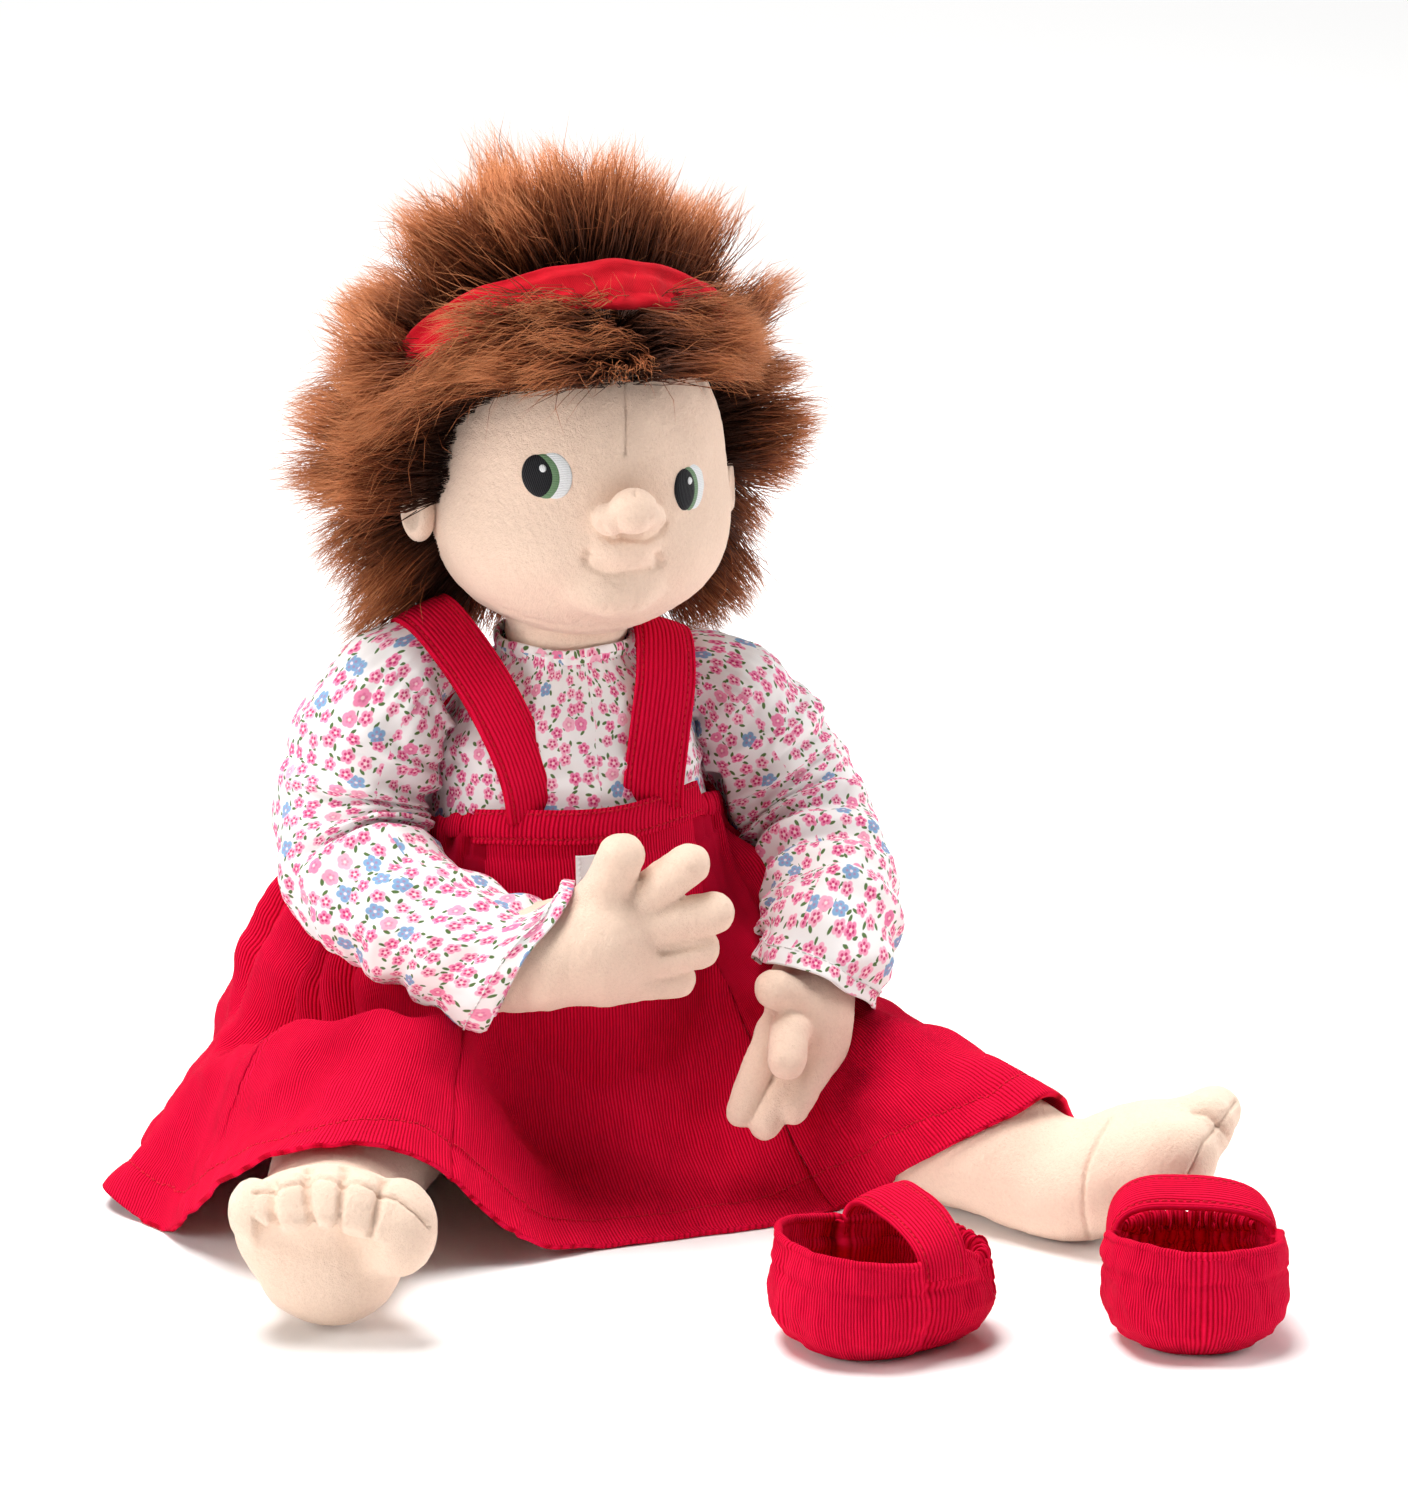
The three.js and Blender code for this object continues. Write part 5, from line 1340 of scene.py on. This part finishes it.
# the left hem by its place in the cloth: it crosses the leg on a slant
HEM_LEFT = [
    [0, 0, -94, 2], [9, 14.5, -93.4, 2], [20, 34.4, -92, 2], [28, 48.4, -89.4, 2], [36, 68, -80.5, 2.2], [39, 74, -86, 6], [42, 78.3, -97.3, 14.5],
    [45, 82.5, -108.4, 22.1], [48, 87.8, -116, 28.6], [51, 94, -121.5, 34.1], [54, 101, -124, 38.4], [57, 108, -124.5, 41.4], [60, 117, -121, 44.2],
    [64, 126, -113, 39], [69, 133, -102, 25], [74, 139, -87, 10], [79, 142, -68, 2.5], [85, 145, -40, 2], [92, 144.5, -4, 2],
    [106, 127, 36.5, 2], [125, 98.3, 68.8, 2], [150, 53, 91.8, 2], [180, 0, 102, 2],
]
FALL_DEG = np.arange(-180, 180, 0.5)


def fall(rows, k, soft):
    """One column of a table about the skirt's angle, smoothed round the whole circle."""
    right, left = rows
    a = np.abs(FALL_DEG)
    right, left = np.array(right, float), np.array(left, float)
    y = np.where(FALL_DEG < 0, np.interp(a, right[:, 0], right[:, k]), np.interp(a, left[:, 0], left[:, k]))
    return blur(y, soft)


UPPER_R, UPPER_Z = fall((UPPER_RIGHT, UPPER_LEFT), 1, 8), fall((UPPER_RIGHT, UPPER_LEFT), 2, 8)
LOWER_R, LOWER_Z = fall((LOWER_RIGHT, LOWER_LEFT), 1, 5), fall((LOWER_RIGHT, LOWER_LEFT), 2, 5)
right, left = np.array(HEM_RIGHT, float), np.array(HEM_LEFT, float)
turn = np.radians(right[:, 0])
right = np.stack([right[:, 0], -right[:, 1] * np.sin(turn), -right[:, 1] * np.cos(turn), right[:, 2]], 1)
HEM = [fall((right, left), k, 2) for k in (1, 2, 3)]


def skirt_at(phi, v, off=CORD):
    """The skirt's outer face before folding: phi from the front in radians, v from its top (0) to its hem (1)."""
    deg = np.degrees(phi)
    look = lambda y: np.interp(deg, np.r_[FALL_DEG, 180], np.r_[y, y[0]])
    top = trunk_at(phi, 117.0, DRESS_OFF + off)
    k = [(1 - v) ** 3, 3 * v * (1 - v) ** 2, 3 * v * v * (1 - v), v**3]
    r = k[0] * np.hypot(top[..., 0], top[..., 1]) + k[1] * (look(UPPER_R) + off) + k[2] * (look(LOWER_R) + off) + k[3] * off
    hx, hy, hz = (look(h) for h in HEM)
    z = k[0] * 117.0 + k[1] * (look(UPPER_Z) + off * 0.6) + k[2] * (look(LOWER_Z) + off * 0.9) + k[3] * (hz + np.where(hz > 10, off * 0.9, 0))
    return np.stack([r * np.sin(phi) + k[3] * hx, -r * np.cos(phi) + k[3] * hy, z], -1)


def skirt_fold(phi, v, P):
    """How far folds stand out from the plain fall, in millimetres."""
    deg = np.degrees(phi)
    a = np.abs(deg)
    out = np.zeros(deg.shape)
    flank = sstep(48, 62, a)
    # gathers below the elastic, opening into soft folds
    wave = deg * 1.0 + 2.2 * np.sin(deg * 0.21) + 1.6 * np.sin(deg * 0.47 + 1.0)
    out = out + flank * 1.5 * np.sin(np.radians(wave) * 34) * sstep(0.0, 0.03, v) * (1 - sstep(0.05, 0.34, v))
    out = out + flank * 2.6 * (0.6 + np.sin(np.radians(wave) * 17 + 0.5)) * bell(v, 0.24, 0.15)
    # deep upright pleats at the sides, behind the arms, fanning out from the elastic
    side = sstep(58, 68, a) * (1 - sstep(112, 126, a))
    fan = np.radians(deg) * 27 + 1.5 * np.sin(np.radians(deg) * 9 + 0.4) + 0.9 * np.sin(v * 5)
    pleat = (0.5 + 0.5 * np.sin(fan)) ** 0.65
    end = np.interp(deg, [-110, -80, -58, 60, 110], [0.74, 0.68, 0.62, 0.60, 0.74])
    out = out + side * (15.0 * pleat - 5.0) * sstep(0.03, 0.20, v) * (1 - sstep(-0.16, 0.02, v - end))
    back = sstep(112, 128, a)
    out = out + back * 5.5 * np.sin(np.radians(deg) * 11 + 0.8 * np.sin(np.radians(deg) * 3)) * sstep(0.2, 0.85, v)
    # the ridge of cloth that stands over the right thigh, a hollow above it, and its fall to the hem
    tall = np.interp(deg, [-112, -96, -80, -66, -54, -44, -36], [0, 9, 14, 15, 13, 9, 0])
    crest = np.interp(deg, [-100, -72, -58, -45, -36], [0.74, 0.68, 0.63, 0.59, 0.56]) + 0.012 * np.sin(deg * 0.5)
    d = v - crest
    out = out + tall * (np.where(d < 0, bell(d, 0, 0.038), bell(d, 0, 0.20)) - 0.80 * bell(d, -0.13, 0.065))
    # creases that run out over the left thigh
    thigh = sstep(34, 44, deg) * (1 - sstep(66, 80, deg))
    out = out + thigh * (2.2 * np.sin((deg - 50) * 0.42 + v * 16.0) + 1.5 * np.sin(v * 34 - deg * 0.22 + 1.0)) * bell(v, 0.66, 0.24)
    out = out + thigh * 3.0 * bell(v, 0.52, 0.1)
    # the lap sinks between the legs, beside a fold that runs down from the right thigh
    q = seen(P)
    lap = sstep(0, 42, q[..., 0] - np.interp(q[..., 1], [980, 1032, 1184, 1260], [415, 446, 539, 590]))
    lap = lap * (1 - sstep(-60, 0, q[..., 0] - np.interp(q[..., 1], [980, 1200], [770, 880]))) * (1 - sstep(46, 56, a))
    out = out - 10.0 * lap * sstep(0.14, 0.52, v) * (1 - sstep(0.64, 0.96, v))
    # the hem waves where it hangs free
    free = sstep(66, 78, a)
    out = out + free * 3.6 * np.sin(np.radians(deg) * 16 + 0.6) * sstep(0.6, 1.0, v)
    out = out + 1.0 * wob(P, 34, 83) * sstep(0.1, 0.3, v) + 0.45 * wob(P, 13, 84) * sstep(0.08, 0.2, v)
    return out


def skirt_normal(phi, v):
    e = 4e-3
    a = skirt_at(phi + 3 * e, v) - skirt_at(phi - 3 * e, v)
    b = skirt_at(phi, np.minimum(v + e, 1)) - skirt_at(phi, np.maximum(v - e, 0))
    n = -unit(np.cross(a, b))
    out = np.stack([np.sin(phi), -np.cos(phi), np.full(phi.shape, 0.5)], -1)
    return unit(n + 0.4 * unit(out))


THIGH = {}
for which in ("right", "left"):
    THIGH[which] = (curve(LEG[which]["path"], 9)[0], np.interp(np.linspace(0, 1, 9), np.linspace(0, 1, 5), LEG_R))


def thighs(f):
    return np.minimum(f.chain(*THIGH["right"]), f.chain(*THIGH["left"]))


def clear_of_thighs(P, room):
    """Lifts cloth that would lie inside a leg until it lies on it."""
    V = P.reshape(-1, 3).copy()
    for _ in range(4):
        need = room - thighs(Points(V)).astype(float)
        low = np.flatnonzero(need > 0.02)
        if not len(low):
            break
        g = gradient(thighs, V[low])
        g[:, 2] = np.maximum(g[:, 2], 0.05)
        V[low] += unit(g) * need[low][:, None]
    return V.reshape(P.shape)


def skirt_cloth(phi, v):
    P = skirt_at(phi, v)
    P = P + skirt_normal(phi, v) * skirt_fold(phi, v, P)[..., None]
    # it lies on the belly where it would sink into it
    room = DRESS_OFF + CORD + 0.6
    a, b = (np.interp(P[..., 2], TORSO[:, 0], TORSO[:, c]) + room for c in (1, 2))
    inside = np.hypot(P[..., 0] / a, P[..., 1] / b)
    P[..., :2] *= np.where((inside < 1) & (P[..., 2] > 6) & (v > 0.06), 1 / np.maximum(inside, 0.3), 1)[..., None]
    P = clear_of_thighs(P, CORD + 1.3)
    P[..., 2] = np.maximum(P[..., 2], 2.0)
    return P


def arc_down(P):
    return np.concatenate([np.zeros((1, P.shape[1])), np.cumsum(np.linalg.norm(np.diff(P, axis=0), axis=2), 0)])


def arc_along(P):
    return np.concatenate([np.zeros((P.shape[0], 1)), np.cumsum(np.linalg.norm(np.diff(P, axis=1), axis=2), 1)], 1)


def outer(P):
    n = grid_normals(P, False)
    c = np.array([0, 0, 40.0])
    return n * (1 if np.sum(n * (P - c)) > 0 else -1)


def topstitch(b, P, rows=None, cols=None, mat=1, pitch=2.5):
    """Stitches along chosen rows or columns of a cloth, with a slight groove already in the cloth."""
    n = outer(P)
    for j in rows or []:
        stitches(b, P[j] + n[j] * 0.12, n[j], pitch, pitch * 0.72, 0.6, mat, 0.30)
    for i in cols or []:
        stitches(b, P[:, i] + n[:, i] * 0.12, n[:, i], pitch, pitch * 0.72, 0.6, mat, 0.30)


FRONT_TOP = np.radians([-50.0, 46.0])
FRONT_HEM = np.radians([-33.0, 33.0])


def front_edge(i, v):
    return FRONT_TOP[i] + (FRONT_HEM[i] - FRONT_TOP[i]) * v


def sew_line(P, amount):
    """Draws the cloth in by amount, a number for each point of the grid."""
    return P - outer(P) * amount[..., None]


def make_front():
    nu, nv = 170, 190
    u, v = np.meshgrid(np.linspace(0, 1, nu), np.linspace(0, 1, nv))
    lo, hi = front_edge(0, v), front_edge(1, v)
    phi = lo + u * (hi - lo)
    P = skirt_cloth(phi, v)
    across, down = arc_along(P), arc_down(P)
    width = across[:, -1:]
    edge = np.minimum(across, width - across)
    rest = down[-1:] - down
    sink = 0.45 * bell(rest, 12.5, 0.9) + 0.7 * bell(edge, 0, 1.4)
    P = sew_line(P, sink)
    mid = np.take_along_axis(across, np.full((nv, 1), nu // 2), 1)
    b = Build()
    thick(b, P, across - mid, down, CORD, away=(0, 0, 40))
    hem = int(np.argmin(np.abs(rest[:, nu // 2] - 12.5)))
    topstitch(b, P, rows=[hem])
    ob = b.obj("pinafore_front_cloth", RED_FINE, RED_THREAD)
    place(ob, "torso", "red_corduroy", "pinafore_front_panel")


def make_side(side):
    s = -1 if side == "right" else 1
    nu, nv = 420, 190
    u, v = np.meshgrid(np.linspace(0, 1, nu), np.linspace(0, 1, nv))
    a = front_edge(0 if s < 0 else 1, v) + s * math.radians(0.04)
    phi = a + u * (s * math.radians(179.7) - a)
    P = skirt_cloth(phi, v)
    down = arc_down(P)
    along = arc_along(P)
    hem_run = along[-1] * 0.55 + along[nv * 3 // 5] * 0.45
    rest = down[-1:] - down
    sink = 0.45 * bell(rest, 12.5, 0.9) + 0.7 * bell(along, 0, 1.4)
    P = sew_line(P, sink)
    b = Build()
    thick(b, P, np.broadcast_to(hem_run, (nv, nu)), down, CORD, away=(0, 0, 40))
    row = np.argmin(np.abs(rest - 12.5), axis=0)
    n = outer(P)
    i = np.arange(nu)
    stitches(b, P[row, i] + n[row, i] * 0.12, n[row, i], 2.5, 1.8, 0.6, 1, 0.3)
    ob = b.obj("pinafore_side_" + side + "_cloth", RED_FINE, RED_THREAD)
    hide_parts("pinafore_side_" + side)
    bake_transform(ob)


def make_bib():
    # folded band along the top of the bib
    nu, nv = 150, 26
    u, v = np.meshgrid(np.linspace(0, 1, nu), np.linspace(0, 1, nv))
    phi = FRONT_TOP[0] + math.radians(-0.8) + u * (FRONT_TOP[1] - FRONT_TOP[0] + math.radians(1.6))
    z = 115.6 + v * 10.6 + 0.5 * np.sin(u * 9) - 2.6 + 3.4 * u
    P = trunk_at(phi, z, 0.0)
    P = trunk_at(phi, z, DRESS_OFF + CORD + 1.7 + 0.35 * wob(P, 20, 91) + 0.5 * np.sin(v * math.pi) - 0.5 * bell(v, 0.16, 0.05))
    across, up = arc_along(P), arc_down(P)
    b = Build()
    thick(b, P, across, up, 2.0, away=(0, 0, 110))
    topstitch(b, P, rows=[4, 22])
    ob = b.obj("pinafore_bib_band_cloth", RED_EDGE, RED_THREAD)
    place(ob, "torso", "red_corduroy", "pinafore_bib_band")
    # gathered elastic casing round the sides and back
    for side in ("right", "left"):
        s = -1 if side == "right" else 1
        nu, nv = 420, 16
        u, v = np.meshgrid(np.linspace(0, 1, nu), np.linspace(0, 1, nv))
        a = (FRONT_TOP[0] if s < 0 else FRONT_TOP[1]) + s * math.radians(0.3)
        phi = a + u * (s * math.radians(179.7) - a)
        deg = np.degrees(phi)
        wave = deg + 2.2 * np.sin(deg * 0.21) + 1.6 * np.sin(deg * 0.47 + 1.0)
        ruff = 1.0 * np.sin(np.radians(wave) * 34) + 0.6 * np.sin(np.radians(wave) * 61 + 0.6)
        belly = np.sin(v * math.pi) ** 0.7
        drop = 1.5 * sstep(47, 52, np.abs(deg)) + 4.5 * sstep(52, 80, np.abs(deg))
        z = 116.0 + v * 7.2 - drop + 0.55 * np.sin(np.radians(wave) * 34 + 0.9) * v
        P = trunk_at(phi, z, DRESS_OFF + CORD + 0.5 + ruff * (0.35 + 0.5 * np.abs(v - 0.5)) + 0.9 * belly)
        b = Build()
        run = arc_along(P)[nv // 2] * 1.35
        thick(b, P, np.broadcast_to(run, (nv, nu)), arc_down(P), 1.6, away=(0, 0, 110))
        ob = b.obj("pinafore_elastic_" + side + "_cloth", RED_EDGE)
        place(ob, "torso", "red_corduroy", "pinafore_elastic_" + side)
    # plain folded tab sewn into the bib
    nu, nv = 14, 22
    u, v = np.meshgrid(np.linspace(0, 1, nu), np.linspace(0, 1, nv))
    phi = np.radians(-13 + u * 9.5)
    P = skirt_at(phi, 0.170 - v * 0.085)
    P[..., 2] = 102.0 + v * 9.2
    n = np.stack([np.sin(phi), -np.cos(phi), 0 * phi], -1)
    P = P + n * (2.3 + 0.25 * np.sin(u * 5) + 0.3 * bell(v, 0.0, 0.3))[..., None]
    b = Build()
    thick(b, P, arc_along(P), arc_down(P), 0.8, away=(0, 0, 100))
    topstitch(b, P, cols=[2], pitch=1.6)
    ob = b.obj("bib_tab_cloth", TAPE, WHITE_THREAD)
    place(ob, "torso", "white_tape", "bib_tab")


def make_strap(side):
    path, across = STRAP[side]
    s = -1 if side == "right" else 1
    # the back end runs down inside the elastic
    ends = [trunk_at(s * (math.pi - math.asin(20.0 / np.interp(z, TORSO[:, 0], TORSO[:, 1]))), z, DRESS_OFF - 0.6) for z in (112.0, 104.0)]
    path = path + [list(np.asarray(e, float)) for e in ends]
    nu, nv = 26, 220
    C, arc = curve(path, nv)
    T = unit(np.gradient(C, axis=0))
    k = np.linspace(0, 1, nv)
    w = np.where(k < 0.5, 1, 1 - (k - 0.5) * 2)
    d = np.stack([np.full(nv, across[0]), across[1] * w - (1 - w) * s * 0.3, -0.28 * s * np.sin(math.pi * k)], 1)
    d = unit(d)
    d = unit(d - T * np.sum(d * T, 1, keepdims=True))
    n = np.cross(d, T)
    n *= np.sign(np.sum(n * (C - [0, 0, 120]), 1))[:, None]
    u = np.linspace(-0.5, 0.5, nu)
    crown = 0.7 * (1 - (2 * np.abs(u)) ** 2.4) - 0.45 * bell(np.abs(u), 0.385, 0.03)
    P = C[:, None] + d[:, None] * (u * STRAP_WIDTH)[None, :, None] + n[:, None] * (CORD + crown[None] + 0.25 * wob(C, 26, 95)[:, None])[..., None]
    U = np.broadcast_to(u * STRAP_WIDTH, (nv, nu))
    V = np.broadcast_to(arc[:, None], (nv, nu))
    b = Build()
    thick(b, P, U, V, 2.0, away=C.mean(0) * [1, 1, 0] + [0, 0, 110])
    for i in (3, nu - 4):
        stitches(b, P[:, i] + n * 0.1, n, 2.5, 1.8, 0.6, 1, 0.3)
    ob = b.obj("strap_" + side + "_cloth", RED, RED_THREAD)
    place(ob, "torso", "red_corduroy", "strap_" + side)


make_front()
make_side("right")
make_side("left")
make_bib()
make_strap("right")
make_strap("left")


# ------------------------------------------------------------------ loose shoes
def oval(t, hw, hl):
    c, s = np.cos(t), np.sin(t)
    toe = np.where(s < 0, 1.04, 0.94)
    return np.stack([hw * toe * np.sign(c) * np.abs(c) ** 0.8, hl * np.sign(s) * np.abs(s) ** 0.8], -1)


def make_shoe(name):
    x0, y0, turn = SHOE[name]
    ca, sa = math.cos(math.radians(turn)), math.sin(math.radians(turn))

    def put(P):
        return np.stack([x0 + ca * P[..., 0] - sa * P[..., 1], y0 + sa * P[..., 0] + ca * P[..., 1], P[..., 2]], -1)

    body = "shoe_" + name
    hw, hl = SHOE_W / 2, SHOE_L / 2
    nu = 260
    t = np.arange(nu) * TAU / nu
    heel = sstep(0.45, 0.9, np.sin(t))
    centre = put(np.array([[0.0, 0, 12]]))[0]
    # upper: one wall of cloth, with the rim turned over
    z = np.concatenate([np.linspace(0.5, 6, 10), np.linspace(7, 27.6, 34)])[:, None]
    grow = np.interp(z, [0.5, 2, 5, 9, 14, 20, 27.6], [-10.0, -7.2, -3.4, -0.7, 0.4, -0.4, -2.2])
    P = np.concatenate([oval(np.broadcast_to(t, (len(z), nu)), 1.0, 1.0) * np.stack([hw + grow, hl + grow], -1), np.broadcast_to(z, (len(z), nu))[..., None]], -1)
    q = P.copy()
    wrinkle = 0.8 * wob(q, 16, 101 + ord(name)) + 0.4 * wob(q, 7, 111 + ord(name))
    wrinkle = wrinkle + 0.9 * np.sin(t * 21 + 0.4)[None] * bell(z, 1.5, 3.0) * (1 - heel)[None] * 0.6
    pucker = heel[None] * (1.1 * np.sin(t * 30)[None] + 0.7 * np.sin(t * 47 + 1)[None]) * sstep(10, 27, z)
    ridge = -0.55 * bell(z, 20.6, 0.8) + 0.55 * sstep(20.8, 22.4, z)
    n2 = unit(P * [1 / hw**2, 1 / hl**2, 0])
    P = P + n2 * (wrinkle * sstep(0.5, 4, z) + pucker + ridge * (1 - 0.7 * heel)[None])[..., None]
    P[..., 2] += 0.9 * sstep(16, 27, z) * np.sin(t * 2 + 0.8)[None] + 1.4 * sstep(12, 27, z) * (1 - heel)[None] - 4.5 * sstep(10, 27, z) * heel[None] + 5.0 * sstep(10, 27, z) * sstep(0.25, -0.95, np.sin(t))[None]
    W = put(P)
    U, V = ring_uv(W, 190)
    b = Build()
    thick(b, W, U, V, 2.0, closed=True, away=centre)
    # rolled rim
    na = 12
    a = np.arange(na) * TAU / na
    ring = P[-1]
    inn = n2[-1]
    roll = ring[:, None] - inn[:, None] * 1.05 + inn[:, None] * (1.35 * np.cos(a))[None, :, None] + np.array([0, 0, 1.0]) * (1.5 * np.sin(a))[None, :, None]
    UU = np.broadcast_to(np.linspace(0, 190, nu + 1)[:, None], (nu + 1, na + 1)).copy()
    VV = np.broadcast_to(np.linspace(0, 9, na + 1), (nu + 1, na + 1)).copy()
    torus(b, put(roll), UU, VV)
    ob = b.obj(body + "_upper_cloth", RED_FINE)
    place(ob, body, "red_corduroy", body + "_upper")
    # sole, a quilted double layer
    rows = []
    for zz, g in ((0.05, -12.5), (0.15, -11.0), (0.7, -10.2), (1.6, -9.8), (2.4, -9.6), (2.9, -10.0), (3.1, -11.5), (3.1, -15.0), (3.0, -22.0)):
        rows.append(np.concatenate([oval(t, hw + g, hl + g), np.full((nu, 1), zz)], 1))
    S = np.array(rows)
    S[5:, :, 2] += 0.35 * wob(S[5:], 8, 121)
    W = put(S)
    ob = solid_rows(body + "_sole_cloth", W, W[..., 0][:, np.r_[0:nu, 0]], W[..., 1][:, np.r_[0:nu, 0]], RED_EDGE)
    place(ob, body, "red_corduroy", body + "_sole")
    # gathered elastic along the heel edge: a ruffled roll
    m, na = 260, 16
    tt = np.radians(np.linspace(30, 150, m))
    base = np.concatenate([oval(tt, hw - 3.6, hl - 3.6), np.full((m, 1), 26.0) - 2.6 * sstep(0.45, 0.9, np.sin(tt))[:, None]], 1)
    o = unit(base * [1 / hw**2, 1 / hl**2, 0])
    fade = np.sin(np.linspace(0, math.pi, m)) ** 0.35
    wave = np.arange(m) * TAU / 13.0
    ruff = 1 + 0.34 * np.sin(wave) + 0.16 * np.sin(wave * 1.7 + 1)
    lift = 3.2 * fade
    aa = np.arange(na) * TAU / na
    R = (2.1 * fade * ruff + 0.35)[:, None]
    H = np.cos(aa)[None] * R * 0.9 + 0.6 * np.sin(wave * 0.5)[:, None]
    Z = np.sin(aa)[None] * R * 1.25 + lift[:, None] * 0.55
    E = base[:, None] + o[:, None] * H[..., None] + np.array([0, 0, 1.0]) * Z[..., None]
    E = put(E)
    ob = solid_rows(body + "_heel_elastic_cloth", E, *ring_uv(E, 14.0)[::-1], RED_EDGE)
    place(ob, body, "red_corduroy", body + "_heel_elastic")
    # strap over the instep
    nu2, nv2 = 22, 120
    rim = 22.0
    v = np.linspace(0, 1, nv2)
    ang = math.pi * (1 - v)
    sag = 1.0 + 0.05 * np.sin(v * 7)
    C = np.stack([(rim + 1.6) * np.sign(np.cos(ang)) * np.abs(np.cos(ang)) ** 0.72, 7 + 1.0 * np.sin(v * math.pi * 2), 25.2 + 15.3 * sag * np.abs(np.sin(ang)) ** 0.62], 1)
    T = unit(np.gradient(C, axis=0))
    D = unit(np.array([0.0, 1.0, 0.0]) - T * T[:, 1:2])
    n = np.cross(D, T)
    n *= np.sign(np.sum(n * (C - [0, 7, 20]), 1))[:, None]
    uu = np.linspace(-0.5, 0.5, nu2)
    tilt = np.array([0, 0.0, 1.0])
    crown = 0.8 * (1 - np.abs(2 * uu) ** 2.2) - 0.4 * bell(np.abs(uu), 0.37, 0.04)
    P = C[:, None] + D[:, None] * (uu * 15.5)[None, :, None] + n[:, None] * (0.9 + crown)[None, :, None] + tilt * (0.30 * np.sin(ang)[:, None] * uu[None] * 15.5)[..., None]
    W = put(P)
    arc = arc_down(W)
    b = Build()
    thick(b, W, np.broadcast_to(uu * 15.5, (nv2, nu2)), arc, 1.9, away=put(np.array([[0, 7.0, 20]]))[0])
    N = unit(put(P + n[:, None]) - W)
    for i in (3, nu2 - 4):
        stitches(b, W[:, i] + N[:, i] * 0.1, N[:, i], 2.4, 1.7, 0.6, 1, 0.3)
    ob = b.obj(body + "_strap_cloth", RED_FINE, RED_THREAD)
    place(ob, body + "_strap", "red_corduroy", body + "_strap")


make_shoe("a")
make_shoe("b")


# ------------------------------------------------------------------ what stays of the solid model
def finish_nodes():
    looks = {
        "torso_filling": FILL, "neck_filling": FILL, "head_filling": FILL, "arm_right_filling": FILL, "arm_left_filling": FILL,
        "leg_right_filling": FILL, "leg_left_filling": FILL, "seat_pellet_bag": PELLETS,
    }
    for name, mat in looks.items():
        ob = bpy.data.objects[name]
        ob.data.materials.clear()
        ob.data.materials.append(mat)


finish_nodes()


# ------------------------------------------------------------------ floor, light, camera
def make_stage():
    scene = bpy.context.scene
    me = bpy.data.meshes.new("floor")
    me.from_pydata([(-12, -8, 0), (12, -8, 0), (12, 16, 0), (-12, 16, 0)], [], [(0, 1, 2, 3)])
    floor = bpy.data.objects.new("floor", me)
    scene.collection.objects.link(floor)
    m = Mat("floor_paper", rough=0.9, spec=0.1)
    f = m.noise(m.node("ShaderNodeTexCoord").outputs["Object"], 1.2, 2)
    me.materials.append(m.done(m.mix(f, (0.955, 0.955, 0.955), (0.965, 0.965, 0.965))))
    world = bpy.data.worlds.new("studio")
    scene.world = world
    world.use_nodes = True
    bg = world.node_tree.nodes["Background"]
    bg.inputs["Color"].default_value = (1.0, 0.995, 0.985, 1)
    bg.inputs["Strength"].default_value = 0.16
    for name, where, aim, size, power, tint in (
        ("top", (-0.35, 0.10, 2.1), (0, -0.05, 0.1), 1.3, 62, (1, 0.99, 0.975)),
        ("left", (-1.95, -0.55, 0.85), (0, -0.05, 0.15), 1.2, 24, (1, 0.985, 0.965)),
        ("right", (1.95, -0.35, 0.80), (0, -0.05, 0.15), 1.2, 24, (1, 0.99, 0.98)),
        ("far_floor", (1.2, 5.2, 3.4), (1.2, 4.2, 0), 3.0, 170, (1, 1, 1)),
    ):
        lamp = bpy.data.lights.new(name, "AREA")
        lamp.shape = "DISK"
        lamp.size = size
        lamp.energy = power
        lamp.color = tint
        ob = bpy.data.objects.new(name, lamp)
        ob.location = where
        ob.rotation_euler = (Vector(aim) - Vector(where)).to_track_quat("-Z", "Y").to_euler()
        scene.collection.objects.link(ob)
    cam = bpy.data.cameras.new("camera")
    cam.lens = 165.0
    cam.sensor_width = 36.0
    cam.clip_start, cam.clip_end = 0.05, 60.0
    ob = bpy.data.objects.new("camera", cam)
    az, el = math.radians(-18.0), math.radians(15.0)
    back = Vector((math.sin(az) * math.cos(el), -math.cos(az) * math.cos(el), math.sin(el)))
    right = Vector((math.cos(az), math.sin(az), 0.0))
    up = back.cross(right)
    at = Vector((-0.60474, -2.00307, 0.69304))
    ob.matrix_world = Matrix(((right.x, up.x, back.x, at.x), (right.y, up.y, back.y, at.y), (right.z, up.z, back.z, at.z), (0, 0, 0, 1)))
    scene.collection.objects.link(ob)
    scene.camera = ob
    scene.view_settings.view_transform = "Standard"
    scene.view_settings.look = "None"
    scene.view_settings.exposure = 0.0


make_stage()
